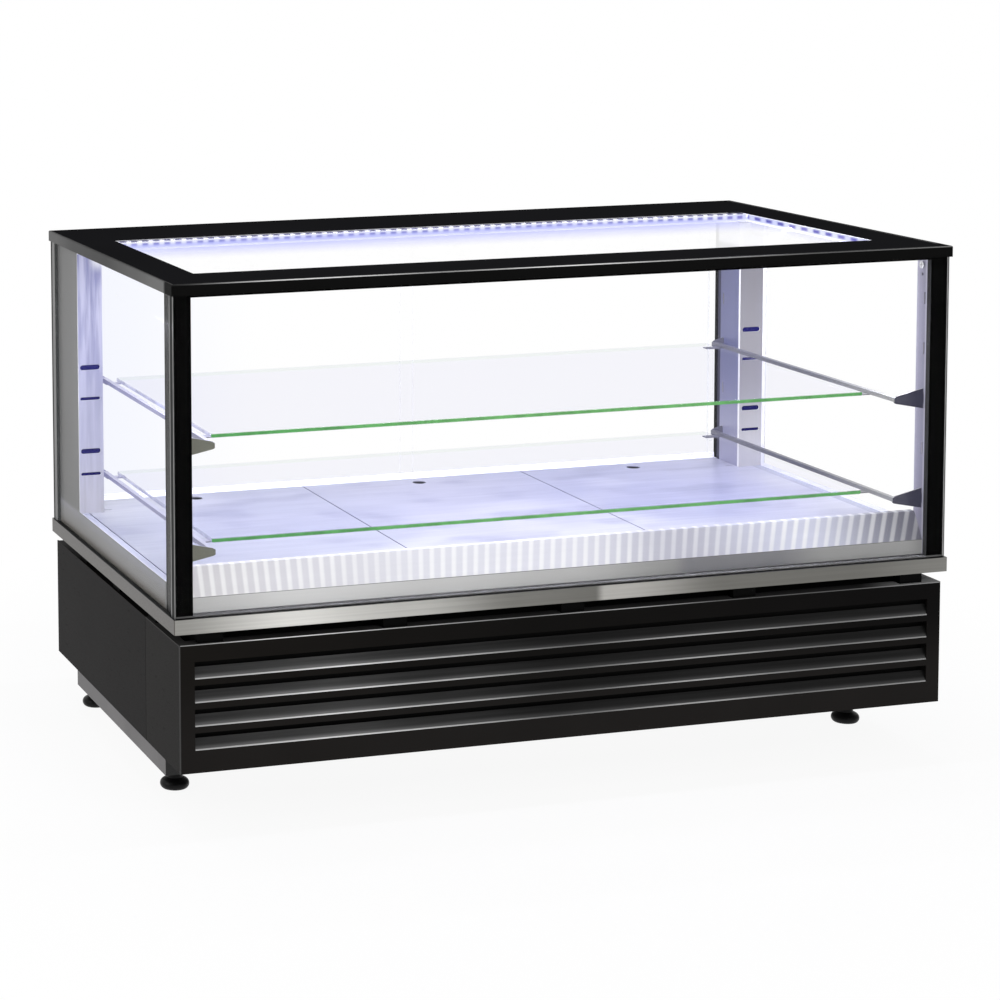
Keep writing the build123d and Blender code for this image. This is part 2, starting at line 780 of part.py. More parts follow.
with BuildPart() as rear_posts:
    both_sides(573.5, GLASS_X, SIDE_BACK + 0.5, SIDE_BACK + 0.5 + POST_DEPTH - 1, RIM_TOP, GLASS_TOP)
    fillet(rear_posts.edges().filter_by(Axis.Z), radius=1)
save(rear_posts.part, "rear_posts")


def door_track(z0, z1, groove_z0, groove_z1):
    """A bar with one groove for each door."""
    with BuildPart() as track:
        block(-TRACK_X, TRACK_X, TRACK_FRONT, TRACK_BACK, z0, z1)
        for door_y in (INNER_DOOR_Y, OUTER_DOOR_Y):
            middle = door_y + PANE / 2
            block(
                -TRACK_X,
                TRACK_X,
                middle - GROOVE / 2,
                middle + GROOVE / 2,
                groove_z0,
                groove_z1,
                Mode.SUBTRACT,
            )
        chamfer(track.edges().filter_by(Axis.X).group_by(Axis.Y)[0], length=1)
    return track.part


BOTTOM_TRACK_TOP = RIM_TOP + TRACK_HEIGHT
TOP_TRACK_BOTTOM = GLASS_TOP - 24
save(
    door_track(RIM_TOP, BOTTOM_TRACK_TOP, DOOR_BOTTOM - 4.1, BOTTOM_TRACK_TOP),
    "door_track_bottom",
)
save(
    door_track(TOP_TRACK_BOTTOM, GLASS_TOP, TOP_TRACK_BOTTOM, GLASS_TOP - 4),
    "door_track_top",
)

GRIP_WIDTH = 24.0
GRIP_PROUD = 8.0
GRIP_BOTTOM = BOTTOM_TRACK_TOP + 4
GRIP_TOP = TOP_TRACK_BOTTOM - 4
GLIDE_LENGTH = 40.0


def door_pane(x0, x1, door_y):
    """One sliding pane; its edges run in the two grooves."""
    with BuildPart() as pane:
        block(x0, x1, door_y, door_y + PANE, DOOR_BOTTOM, DOOR_TOP)
        chamfer(pane.edges().filter_by(Axis.Z), length=0.6)
    return pane.part


def door_grip(x0, x1, door_y):
    """A full-height grip on the operator's side of the pane, and two glides below it."""
    face = door_y + PANE
    middle = (x0 + x1) / 2
    inward = 1 if middle < 0 else -1
    with BuildPart() as grip:
        block(x0, x1, face, face + GRIP_PROUD, GRIP_BOTTOM, GRIP_TOP)
        fillet(grip.edges().filter_by(Axis.Z).group_by(Axis.Y)[-1], radius=3)
        with BuildSketch(Plane(origin=(middle, face, 0), z_dir=(0, 0, 1))) as hollow:
            with Locations((inward * GRIP_WIDTH / 4, GRIP_PROUD + 2)):
                Ellipse(GRIP_WIDTH / 4, GRIP_PROUD - 1)
        hollow_at_grip = hollow.sketch.moved(Location((0, 0, GRIP_BOTTOM + 20)))
        extrude(hollow_at_grip, amount=GRIP_TOP - GRIP_BOTTOM - 40, mode=Mode.SUBTRACT)
        for glide_x in (middle + inward * 40, middle + inward * 480):
            block(
                glide_x - GLIDE_LENGTH / 2,
                glide_x + GLIDE_LENGTH / 2,
                door_y - 1,
                door_y + PANE + 1,
                DOOR_BOTTOM - 4,
                DOOR_BOTTOM,
            )
    return grip.part


save(door_pane(-DOOR_EDGE_X, DOOR_OVERLAP, OUTER_DOOR_Y), "left_door_glass")
save(door_grip(-DOOR_EDGE_X, -DOOR_EDGE_X + GRIP_WIDTH, OUTER_DOOR_Y), "left_door_grip")
save(door_pane(-DOOR_OVERLAP, DOOR_EDGE_X, INNER_DOOR_Y), "right_door_glass")
save(door_grip(DOOR_EDGE_X - GRIP_WIDTH, DOOR_EDGE_X, INNER_DOOR_Y), "right_door_grip")

# ---------------------------------------------------------------- fans


def spoke_plane(centre, angle, radius, lean):
    """A plane that faces outwards at a radius, its X axis leaned from the tangent to +Y."""
    outward = Vector(sin(radians(angle)), 0, cos(radians(angle)))
    tangent = Vector(cos(radians(angle)), 0, -sin(radians(angle)))
    chord = tangent * cos(radians(lean)) + Vector(0, 1, 0) * sin(radians(lean))
    return Plane(origin=Vector(*centre) + outward * radius, x_dir=chord, z_dir=outward)


def fan_wheel(x, y, z, hub_r, hub_len, tip_r, blades):
    """A hub with twisted blades, turning about Y on the motor's shaft."""
    middle = (x, y + hub_len / 2, z)
    with BuildPart() as wheel:
        rod((x, y, z), (0, 1, 0), hub_r, hub_len)
        fillet(wheel.edges().filter_by(GeomType.CIRCLE).group_by(Axis.Y)[0], radius=2)
        rod((x, y + 4, z), (0, 1, 0), SCREW_R + RUNNING, hub_len, Mode.SUBTRACT)
        for blade in range(blades):
            angle = blade * 360 / blades
            with BuildSketch(spoke_plane(middle, angle, hub_r - 2, 40)) as root:
                SlotOverall(hub_len, 2.2)
            with BuildSketch(spoke_plane(middle, angle, tip_r, 24)) as tip:
                SlotOverall(hub_len * 1.9, 1.8)
            loft([root.sketch.face(), tip.sketch.face()])
    return wheel.part


def fan_frame(x, y, z, half_x, z0, z1, depth, bore_r, motor_r, motor_y, motor_len):
    """A square-edged plate with a round throat, a motor on three arms, and a shaft."""
    with BuildPart() as frame:
        block(x - half_x, x + half_x, y, y + SHEET, z0, z1)
        rod((x, y, z), (0, 1, 0), bore_r + 3, depth)
        rod((x, y - 1, z), (0, 1, 0), bore_r, depth + 2, Mode.SUBTRACT)
        rod((x, motor_y, z), (0, 1, 0), motor_r, motor_len)
        rod((x, motor_y, z), (0, -1, 0), SCREW_R, 9)
        for arm in range(3):
            with BuildSketch(spoke_plane((x, y + depth - 3, z), arm * 120, motor_r - 2, 0)) as bar:
                Rectangle(8, 4)
            extrude(bar.sketch, amount=bore_r + 1 - motor_r + 2)
    return frame.part


HUB_LEN = 16.0
CONDENSER_SHROUD_Y = -128.0
save(
    fan_wheel(
        CONDENSER_FAN_X,
        CONDENSER_SHROUD_Y + 4,
        CONDENSER_FAN_Z,
        18,
        HUB_LEN,
        CONDENSER_FAN_R,
        5,
    ),
    "condenser_fan",
)
save(
    fan_frame(
        CONDENSER_FAN_X,
        CONDENSER_SHROUD_Y,
        CONDENSER_FAN_Z,
        150,
        FOOT_HEIGHT + PANEL_SHEET,
        208,
        40,
        CONDENSER_FAN_R + 3,
        22,
        CONDENSER_SHROUD_Y + 22,
        44,
    ),
    "condenser_shroud",
)

EVAPORATOR_FRAME_Y = 20.0
save(
    fan_wheel(
        0,
        EVAPORATOR_FRAME_Y + 3,
        EVAPORATOR_FAN_Z,
        9,
        12,
        EVAPORATOR_FAN_R,
        5,
    ),
    "evaporator_fan",
)
save(
    fan_frame(
        0,
        EVAPORATOR_FRAME_Y,
        EVAPORATOR_FAN_Z,
        LINER_X - 12,
        LINER_FLOOR + CLEAR + 1,
        SUPPORT_TOP - 15,
        26,
        EVAPORATOR_FAN_R + 3,
        12,
        EVAPORATOR_FRAME_Y + 17,
        24,
    ),
    "evaporator_fan_frame",
)


# ---------------------------------------------------------------- coils
def finned_coil(x0, x1, y0, y1, z0, z1, fin_pitch, rows, columns):
    """A pack of fins on straight tubes, with return bends and two end plates."""
    tube_r = 4.0
    row_pitch = (z1 - z0) / rows
    column_pitch = (y1 - y0) / columns
    fin_count = int((x1 - x0 - 20) / fin_pitch)
    with BuildPart() as coil:
        for end_x in (x0, x1 - 2):
            block(end_x, end_x + 2, y0, y1, z0, z1)
        for fin in range(fin_count):
            fin_x = x0 + 12 + fin * fin_pitch
            block(fin_x, fin_x + 0.8, y0 + 1, y1 - 1, z0 + 2, z1 - 2)
        for column in range(columns):
            tube_y = y0 + (column + 0.5) * column_pitch
            for row in range(rows):
                tube_z = z0 + (row + 0.5) * row_pitch
                rod((x0 - 8, tube_y, tube_z), (1, 0, 0), tube_r, x1 - x0 + 16)
            # the return bends join neighbouring rows at alternate ends
            for row in range(rows - 1):
                outward = -1 if row % 2 == 0 else 1
                bend_x = x0 - 8 if row % 2 == 0 else x1 + 8
                bend_z = z0 + (row + 1) * row_pitch
                with BuildLine(Plane.XZ.offset(-tube_y)) as bend:
                    ThreePointArc(
                        (bend_x, bend_z - row_pitch / 2),
                        (bend_x + outward * row_pitch / 2, bend_z),
                        (bend_x, bend_z + row_pitch / 2),
                    )
                start = Plane(origin=bend.line @ 0, z_dir=bend.line % 0)
                with BuildSketch(start) as section:
                    Circle(tube_r)
                sweep(section.sketch, path=bend.line)
    return coil.part


save(
    finned_coil(
        CONDENSER_FAN_X - 150,
        CONDENSER_FAN_X + 150,
        COIL_Y,
        COIL_Y + 44,
        48,
        208,
        7.5,
        6,
        2,
    ),
    "condenser_coil",
)
save(
    finned_coil(-300, 300, EVAPORATOR_Y, EVAPORATOR_Y + 56, 262, 310, 12, 2, 2),
    "evaporator_coil",
)

# ---------------------------------------------------------------- compressor and pipes
MOUNT_HEIGHT = 14.0
PAN_FLOOR = FOOT_HEIGHT + PANEL_SHEET
SHELL_BOTTOM = PAN_FLOOR + MOUNT_HEIGHT
MOUNT_X = 68.0
MOUNT_Y = 42.0

with BuildPart() as compressor:
    with BuildSketch(Plane(origin=(COMPRESSOR_X, COMPRESSOR_Y, SHELL_BOTTOM))) as foot_plate:
        RectangleRounded(2 * MOUNT_X + 36, 2 * MOUNT_Y + 30, 12)
    extrude(foot_plate.sketch, amount=3)
    shell_planes = (
        (SHELL_BOTTOM + 2, 50, 42),
        (SHELL_BOTTOM + 20, 66, 56),
        (SHELL_BOTTOM + 60, 70, 60),
        (SHELL_BOTTOM + 110, 70, 60),
        (SHELL_BOTTOM + 140, 58, 48),
        (SHELL_BOTTOM + 152, 34, 28),
    )
    outlines = []
    for shell_z, shell_rx, shell_ry in shell_planes:
        with BuildSketch(Plane(origin=(COMPRESSOR_X, COMPRESSOR_Y, shell_z))) as outline:
            Ellipse(shell_rx, shell_ry)
        outlines.append(outline.sketch.face())
    loft(outlines)
    with BuildSketch(Plane(origin=(COMPRESSOR_X, COMPRESSOR_Y, SHELL_BOTTOM + 78))) as weld:
        Ellipse(73, 63)
    extrude(weld.sketch, amount=4)
    # terminal cover on the operator's side
    block(
        COMPRESSOR_X - 28,
        COMPRESSOR_X + 28,
        COMPRESSOR_Y + 50,
        COMPRESSOR_Y + 84,
        SHELL_BOTTOM + 40,
        SHELL_BOTTOM + 96,
    )
    with BuildSketch(Plane.XY.offset(SHELL_BOTTOM)) as mount_holes:
        with Locations((COMPRESSOR_X, COMPRESSOR_Y)):
            with GridLocations(2 * MOUNT_X, 2 * MOUNT_Y, 2, 2):
                Circle(6 + CLEAR)
    extrude(mount_holes.sketch, amount=3, mode=Mode.SUBTRACT)
save(compressor.part, "compressor")

with BuildPart() as compressor_mounts:
    for mount_x in (COMPRESSOR_X - MOUNT_X, COMPRESSOR_X + MOUNT_X):
        for mount_y in (COMPRESSOR_Y - MOUNT_Y, COMPRESSOR_Y + MOUNT_Y):
            rod((mount_x, mount_y, PAN_FLOOR), (0, 0, 1), 11, MOUNT_HEIGHT)
            rod((mount_x, mount_y, PAN_FLOOR), (0, 0, 1), 6, MOUNT_HEIGHT + 6)
save(compressor_mounts.part, "compressor_mounts")

DRIER_X = 110.0
DRIER_Y = -60.0
DRIER_Z = 120.0
PIPE_R = 3.0
COIL_LOW = 61.3
COIL_HIGH = 194.7

with BuildPart() as filter_drier:
    with BuildSketch(Plane.XZ.offset(-DRIER_Y)) as drier_half:
        with BuildLine():
            Polyline((DRIER_X - 50, DRIER_Z), (DRIER_X - 50, DRIER_Z + 4), (DRIER_X - 42, DRIER_Z + 11))
            Polyline((DRIER_X - 42, DRIER_Z + 11), (DRIER_X + 42, DRIER_Z + 11))
            Polyline((DRIER_X + 42, DRIER_Z + 11), (DRIER_X + 50, DRIER_Z + 4), (DRIER_X + 50, DRIER_Z))
            Line((DRIER_X + 50, DRIER_Z), (DRIER_X - 50, DRIER_Z))
        make_face()
    revolve(drier_half.sketch, axis=Axis((DRIER_X, DRIER_Y, DRIER_Z), (1, 0, 0)))
    block(DRIER_X - 6, DRIER_X + 6, DRIER_Y - 2, DRIER_Y + 2, PAN_FLOOR, DRIER_Z - 8)
save(filter_drier.part, "filter_drier")


def pipe(*points):
    """A copper pipe through the given points, with bent corners."""
    with BuildLine() as route:
        FilletPolyline(*points, radius=12)
    start = Plane(origin=route.line @ 0, z_dir=route.line % 0)
    with BuildSketch(start) as section:
        Circle(PIPE_R)
    sweep(section.sketch, path=route.line)


with BuildPart() as refrigerant_pipes:
    coil_end = CONDENSER_FAN_X + 150 + 8 + CLEAR
    # liquid line: condenser to drier
    pipe(
        (coil_end, COIL_Y + 11, COIL_LOW),
        (coil_end + 14, COIL_Y + 11, COIL_LOW),
        (coil_end + 14, DRIER_Y, COIL_LOW),
        (coil_end + 14, DRIER_Y, DRIER_Z),
        (DRIER_X - 50 - CLEAR, DRIER_Y, DRIER_Z),
    )
    # discharge line: compressor to condenser
    pipe(
        (COMPRESSOR_X - 71, COMPRESSOR_Y, 150),
        (COMPRESSOR_X - 110, COMPRESSOR_Y, 150),
        (COMPRESSOR_X - 110, COIL_Y + 33, 150),
        (COMPRESSOR_X - 110, COIL_Y + 33, COIL_HIGH),
        (coil_end, COIL_Y + 33, COIL_HIGH),
    )
save(refrigerant_pipes.part, "refrigerant_pipes")

with BuildPart() as electrical_box:
    block(380, 520, 150, 285, PAN_FLOOR, 150)
    fillet(electrical_box.edges().filter_by(Axis.Z), radius=4)
    block(383, 517, 153, 282, PAN_FLOOR + 3, 146, Mode.SUBTRACT)
    # terminal rail and light driver inside
    block(395, 505, 165, 195, PAN_FLOOR, PAN_FLOOR + 40)
    block(395, 505, 215, 270, PAN_FLOOR, PAN_FLOOR + 30)
save(electrical_box.part, "electrical_box")

# ---------------------------------------------------------------- operator's controls
BEZEL_PROUD = 1.2
REAR_FACE = BASE_BACK
KEY_W = 7.0
KEY_H = 5.0
KEY_Z = CONTROL_Z - 10

with BuildPart() as controller_body:
    with BuildSketch(Plane.XZ.offset(-REAR_FACE)) as bezel:
        with Locations((CONTROLLER_X, CONTROL_Z)):
            RectangleRounded(BEZEL_W, BEZEL_H, 3)
    extrude(bezel.sketch, amount=-BEZEL_PROUD)
    block(
        CONTROLLER_X - 35,
        CONTROLLER_X + 35,
        REAR_FACE - 50,
        REAR_FACE,
        CONTROL_Z - 14,
        CONTROL_Z + 14,
    )
    # display window and key pockets
    block(
        CONTROLLER_X - 6,
        CONTROLLER_X + 33,
        REAR_FACE + 0.6,
        REAR_FACE + BEZEL_PROUD,
        CONTROL_Z - 9,
        CONTROL_Z + 11,
        Mode.SUBTRACT,
    )
    for key in range(3):
        key_x = KEY_FIRST_X + key * KEY_PITCH
        block(
            key_x - KEY_W / 2 - 0.2,
            key_x + KEY_W / 2 + 0.2,
            REAR_FACE - 5,
            REAR_FACE + BEZEL_PROUD,
            KEY_Z - KEY_H / 2 - 0.2,
            KEY_Z + KEY_H / 2 + 0.2,
            Mode.SUBTRACT,
        )
save(controller_body.part, "controller_body")


def controller_key(key_x):
    """A small push key that stands just proud of the bezel."""
    with BuildPart() as key:
        block(
            key_x - KEY_W / 2,
            key_x + KEY_W / 2,
            REAR_FACE - 4,
            REAR_FACE + 2.3,
            KEY_Z - KEY_H / 2,
            KEY_Z + KEY_H / 2,
        )
        fillet(key.faces().sort_by(Axis.Y)[-1].edges(), radius=0.6)
    return key.part


for key_index, key_name in enumerate(("key_set", "key_down", "key_up")):
    save(controller_key(KEY_FIRST_X + key_index * KEY_PITCH), key_name)

ROCKER_W = 18.0
ROCKER_H = 21.0
ROCKER_R = 11.5
ROCKER_Y = REAR_FACE - 8.5
ROCKER_RIDGE = REAR_FACE + 2.0

with BuildPart() as switch_bezel:
    with BuildSketch(Plane.XZ.offset(-REAR_FACE)) as switch_plate:
        with Locations((SWITCH_X, CONTROL_Z)):
            RectangleRounded(SWITCH_W, SWITCH_H, 3)
    extrude(switch_plate.sketch, amount=-BEZEL_PROUD)
    block(
        SWITCH_X - 26,
        SWITCH_X + 26,
        REAR_FACE - 28,
        REAR_FACE,
        CONTROL_Z - 12.4,
        CONTROL_Z + 12.4,
    )
    for offset_x in (-ROCKER_PITCH / 2, ROCKER_PITCH / 2):
        block(
            SWITCH_X + offset_x - ROCKER_W / 2 - 0.5,
            SWITCH_X + offset_x + ROCKER_W / 2 + 0.5,
            REAR_FACE - 24,
            REAR_FACE + BEZEL_PROUD,
            CONTROL_Z - 12,
            CONTROL_Z + 12,
            Mode.SUBTRACT,
        )
save(switch_bezel.part, "switch_bezel")


def rocker(rocker_x):
    """A rocker with a shallow V face, resting with its lower half pressed in."""
    with BuildPart() as button:
        with BuildSketch(Plane.YZ.offset(rocker_x - ROCKER_W / 2)) as profile:
            with Locations((ROCKER_Y, CONTROL_Z)):
                Circle(ROCKER_R)
        extrude(profile.sketch, amount=ROCKER_W)
        # two flats meet at the middle of the face
        for lean in (-ROCKER_TILT, ROCKER_TILT):
            flat = Plane(origin=(rocker_x, ROCKER_RIDGE, CONTROL_Z), z_dir=(0, 1, 0))
            with BuildSketch(flat.rotated((lean, 0, 0))) as cutter:
                Rectangle(ROCKER_W + 2, 4 * ROCKER_R)
            extrude(cutter.sketch, amount=ROCKER_R, mode=Mode.SUBTRACT)
    pivot = Axis((rocker_x, ROCKER_Y, CONTROL_Z), (1, 0, 0))
    return button.part.rotate(pivot, -ROCKER_TILT)


save(rocker(SWITCH_X - ROCKER_PITCH / 2), "main_rocker")
save(rocker(SWITCH_X + ROCKER_PITCH / 2), "light_rocker")

with BuildPart() as power_inlet:
    with BuildSketch(Plane.XZ.offset(-REAR_FACE)) as flange_outline:
        with Locations((INLET_X, 120)):
            RectangleRounded(INLET_W, INLET_H + 4, 5)
    extrude(flange_outline.sketch, amount=-1.5)
    block(INLET_X - 15, INLET_X + 15, REAR_FACE - 26, REAR_FACE, 109, 131)
    block(INLET_X - 12.5, INLET_X + 12.5, REAR_FACE - 18, REAR_FACE + 2, 112, 128, Mode.SUBTRACT)
    for pin_x, pin_z in ((-7, 118), (0, 122), (7, 118)):
        block(
            INLET_X + pin_x - 1,
            INLET_X + pin_x + 1,
            REAR_FACE - 19,
            REAR_FACE - 4,
            pin_z - 2,
            pin_z + 2,
        )
save(power_inlet.part, "power_inlet")

# ---------------------------------------------------------------- screws
HEAD_R = 4.0
UPRIGHT_HEAD_R = 5.5
HEAD_H = 2.0
SCREW_LENGTH = 8.0
RECESS_W = 1.2
RECESS_DEPTH = 1.0


def screw(place, outward, head_r):
    """A cross-recessed screw whose head stands on a face at place."""
    inward = tuple(-part for part in outward)
    rod(place, outward, head_r, HEAD_H)
    rod(place, inward, SCREW_R, SCREW_LENGTH)
    floor = tuple(at + part * (HEAD_H - RECESS_DEPTH) for at, part in zip(place, outward))
    with BuildSketch(Plane(origin=floor, z_dir=outward)) as cross:
        Rectangle(1.2 * head_r, RECESS_W)
        Rectangle(RECESS_W, 1.2 * head_r)
    extrude(cross.sketch, amount=RECESS_DEPTH, mode=Mode.SUBTRACT)


with BuildPart() as panel_screws:
    for screw_x, screw_z in REAR_SCREWS:
        screw((screw_x, REAR_FACE, screw_z), (0, 1, 0), HEAD_R)
    for side in (-1, 1):
        face = (side * FRONT_UPRIGHT_X, UPRIGHT_SCREW_Y, UPRIGHT_SCREW_Z)
        screw(face, (-side, 0, 0), UPRIGHT_HEAD_R)
save(panel_screws.part, "panel_screws")
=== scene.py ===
"""Looks for the countertop display case: finishes, glass, light strips, small fittings, studio."""

import math

import bmesh
import bpy
from mathutils import Matrix, Vector


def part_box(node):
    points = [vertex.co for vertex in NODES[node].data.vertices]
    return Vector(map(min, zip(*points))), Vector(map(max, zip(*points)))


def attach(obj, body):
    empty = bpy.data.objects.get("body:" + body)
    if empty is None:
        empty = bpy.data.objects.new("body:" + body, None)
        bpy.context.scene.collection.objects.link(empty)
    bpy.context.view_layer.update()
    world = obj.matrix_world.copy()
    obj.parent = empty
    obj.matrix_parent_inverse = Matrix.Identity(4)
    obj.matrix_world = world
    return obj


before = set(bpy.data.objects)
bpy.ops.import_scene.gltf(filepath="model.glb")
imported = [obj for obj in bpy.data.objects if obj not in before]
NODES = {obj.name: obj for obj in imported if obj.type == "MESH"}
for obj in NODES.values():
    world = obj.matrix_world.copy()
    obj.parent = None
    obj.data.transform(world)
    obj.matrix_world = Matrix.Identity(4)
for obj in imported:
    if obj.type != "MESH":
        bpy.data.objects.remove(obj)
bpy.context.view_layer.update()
CABINET = "cabinet"
MM = 0.001
X, Y, Z = 0, 1, 2


# ---------------------------------------------------------------- node material builder
class Shader:
    """Builds one node material. Coordinates are metres in the object's own frame."""

    def __init__(self, name):
        self.material = bpy.data.materials.new(name)
        self.material.use_nodes = True
        self.tree = self.material.node_tree
        self.tree.nodes.clear()
        self.coords = self.node("ShaderNodeTexCoord").outputs["Object"]
        self.geometry = self.node("ShaderNodeNewGeometry")
        self.axes = self.split(self.coords)
        self.facing = self.split(self.geometry.outputs["Normal"])

    def node(self, kind, **settings):
        made = self.tree.nodes.new(kind)
        for key, value in settings.items():
            setattr(made, key, value)
        return made

    def put(self, socket, value):
        if isinstance(value, bpy.types.NodeSocket):
            self.tree.links.new(value, socket)
        else:
            socket.default_value = value

    def split(self, vector):
        parts = self.node("ShaderNodeSeparateXYZ")
        self.put(parts.inputs[0], vector)
        return parts.outputs

    def math(self, operation, a, b=0.0, c=0.0):
        made = self.node("ShaderNodeMath", operation=operation)
        for socket, value in zip(made.inputs, (a, b, c)):
            self.put(socket, value)
        return made.outputs[0]

    def product(self, first, *others):
        for other in others:
            first = self.math("MULTIPLY", first, other)
        return first

    def ramp(self, value, low, high, out_low=0.0, out_high=1.0):
        """Maps value from low..high to out_low..out_high with soft ends."""
        made = self.node("ShaderNodeMapRange", interpolation_type="SMOOTHSTEP")
        for socket, number in zip(made.inputs, (value, low, high, out_low, out_high)):
            self.put(socket, number)
        return made.outputs[0]

    def past(self, value, place, soft):
        """0 before a place and 1 after it, with a soft edge."""
        return self.ramp(value, place - soft, place + soft)

    def within(self, value, low, high, soft=0.3 * MM):
        """1 between low and high, 0 outside, with soft edges."""
        rise = self.past(value, low, soft)
        fall = self.ramp(value, high - soft, high + soft, 1.0, 0.0)
        return self.product(rise, fall)

    def looks(self, axis, sign):
        """1 on faces that look along an axis, 0 on the rest."""
        return self.ramp(self.math("MULTIPLY", self.facing[axis], sign), 0.45, 0.75)

    def square_to(self, axis, low=0.5, high=0.8):
        """1 on faces that look either way along an axis, 0 on the rest."""
        return self.ramp(self.math("ABSOLUTE", self.facing[axis]), low, high)

    def outward(self, axis):
        """How far a face looks away from the middle of the case along an axis, -1 to 1."""
        return self.product(self.facing[axis], self.math("SIGN", self.axes[axis]))

    def front_side(self):
        """1 where a face is seen from outside its solid."""
        return self.math("SUBTRACT", 1.0, self.geometry.outputs["Backfacing"])

    def wave(self, value, pitch):
        """A smooth pulse, 1 at each whole pitch and 0 half-way between."""
        turned = self.math("COSINE", self.math("MULTIPLY", value, 2 * math.pi / pitch))
        return self.math("MULTIPLY_ADD", turned, 0.5, 0.5)

    def mix(self, factor, a, b):
        made = self.node("ShaderNodeMix", data_type="RGBA")
        self.put(made.inputs[0], factor)
        self.put(made.inputs[6], a)
        self.put(made.inputs[7], b)
        return made.outputs[2]

    def stops(self, value, low, high, colours):
        """Runs through evenly spaced colours as value goes from low to high."""
        share = self.node("ShaderNodeMapRange")
        for socket, number in zip(share.inputs, (value, low, high, 0.0, 1.0)):
            self.put(socket, number)
        made = self.node("ShaderNodeValToRGB")
        made.color_ramp.interpolation = "EASE"
        points = made.color_ramp.elements
        while len(points) < len(colours):
            points.new(0.5)
        for index, colour in enumerate(colours):
            points[index].position = index / (len(colours) - 1)
            points[index].color = colour
        self.put(made.inputs[0], share.outputs[0])
        return made.outputs[0]

    def across(self, reach, colours):
        """Runs through colours from the left, -reach, to the right, +reach."""
        return self.stops(self.axes[X], -reach, reach, colours)

    def right_half(self):
        """0 on the left half of the case and 1 on the right half."""
        return self.ramp(self.axes[X], -0.1, 0.1)

    def scaled(self, colour, amount):
        made = self.node("ShaderNodeVectorMath", operation="SCALE")
        self.put(made.inputs[0], colour[:3] if isinstance(colour, tuple) else colour)
        self.put(made.inputs["Scale"], amount)
        return made.outputs[0]

    def blend(self, factor, a, b):
        made = self.node("ShaderNodeMixShader")
        self.put(made.inputs[0], factor)
        self.put(made.inputs[1], a)
        self.put(made.inputs[2], b)
        return made.outputs[0]

    def noise(self, scale, detail=2.0, stretch=(1, 1, 1), seed=0.0):
        place = self.node("ShaderNodeMapping")
        self.put(place.inputs["Vector"], self.coords)
        place.inputs["Scale"].default_value = stretch
        place.inputs["Location"].default_value = (seed, seed * 0.7, seed * 1.3)
        made = self.node("ShaderNodeTexNoise")
        self.put(made.inputs["Vector"], place.outputs[0])
        made.inputs["Scale"].default_value = scale
        made.inputs["Detail"].default_value = detail
        return made.outputs[0]

    def bump(self, height, strength, distance):
        made = self.node("ShaderNodeBump")
        made.inputs["Strength"].default_value = strength
        made.inputs["Distance"].default_value = distance
        self.put(made.inputs["Height"], height)
        return made.outputs[0]

    def principled(self, colour, roughness, metallic=0.0, normal=None, specular=0.5, glow=None):
        made = self.node("ShaderNodeBsdfPrincipled")
        self.put(made.inputs["Base Color"], colour)
        self.put(made.inputs["Roughness"], roughness)
        self.put(made.inputs["Metallic"], metallic)
        self.put(made.inputs["Specular IOR Level"], specular)
        if normal is not None:
            self.put(made.inputs["Normal"], normal)
        if glow is not None:
            self.put(made.inputs["Emission Color"], glow[0])
            self.put(made.inputs["Emission Strength"], glow[1])
        return made.outputs[0]

    def emission(self, colour, strength):
        made = self.node("ShaderNodeEmission")
        self.put(made.inputs[0], colour)
        self.put(made.inputs[1], strength)
        return made.outputs[0]

    def clear(self, tint):
        made = self.node("ShaderNodeBsdfTransparent")
        self.put(made.inputs[0], tint)
        return made.outputs[0]

    def finish(self, surface):
        output = self.node("ShaderNodeOutputMaterial")
        self.put(output.inputs["Surface"], surface)
        return self.material


def rgb(red, green, blue):
    """An sRGB colour in 0..255 as linear RGBA."""
    linear = []
    for channel in (red, green, blue):
        share = channel / 255
        linear.append(share / 12.92 if share <= 0.04045 else ((share + 0.055) / 1.055) ** 2.4)
    return (*linear, 1.0)


def grey(shade):
    """A neutral sRGB colour in 0..255 as linear RGBA."""
    return rgb(shade, shade, shade)


def as_colour(share):
    """A plain number carried through a colour ramp."""
    return (share, share, share, 1.0)


WHITE = (1.0, 1.0, 1.0, 1.0)
WHITE_PLASTIC = rgb(240, 240, 246)
LAVENDER_REFLECTION = rgb(188, 193, 255)
CLEAR_EDGE = rgb(236, 240, 248)


# ---------------------------------------------------------------- places on the case
# the lowest and highest corners of CAD nodes, in metres
FASCIA_LOW, FASCIA_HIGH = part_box("front_fascia")
FRAME_LOW, FRAME_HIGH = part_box("top_frame")
GLASS_LOW, GLASS_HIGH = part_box("side_glasses")
BORDER_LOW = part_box("side_glass_borders")[0]
PROFILE_LOW, PROFILE_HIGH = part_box("led_profiles")
DECK_LOW, DECK_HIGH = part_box("deck_plates")
UPRIGHT_LOW, UPRIGHT_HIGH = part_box("rear_uprights")
SILL_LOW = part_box("front_sill")[0]
TRACK_LOW, TRACK_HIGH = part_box("door_track_bottom")

# how far a run of tones reaches to either side: over the case, the base, the inside, the shelves
FULL_REACH = 600 * MM
BASE_REACH = 590 * MM
INNER_REACH = 570 * MM
SHELF_REACH = 500 * MM

LOUVRE_FIRST = 111 * MM
LOUVRE_PITCH = 33.6 * MM
LOUVRE_END = 574 * MM
LOUVRE_LIP = 1.8 * MM
STREAK_PITCH = 17.2 * MM
DECK_PLATE_WIDTH = 382.8 * MM

# where the side print changes, from the front: dark strip, black line, grey foot, grey rear strip
BORDER_FRONT_BLACK = -270 * MM
BORDER_FRONT_EDGE = -264.5 * MM
BORDER_REAR_EDGE = 187 * MM

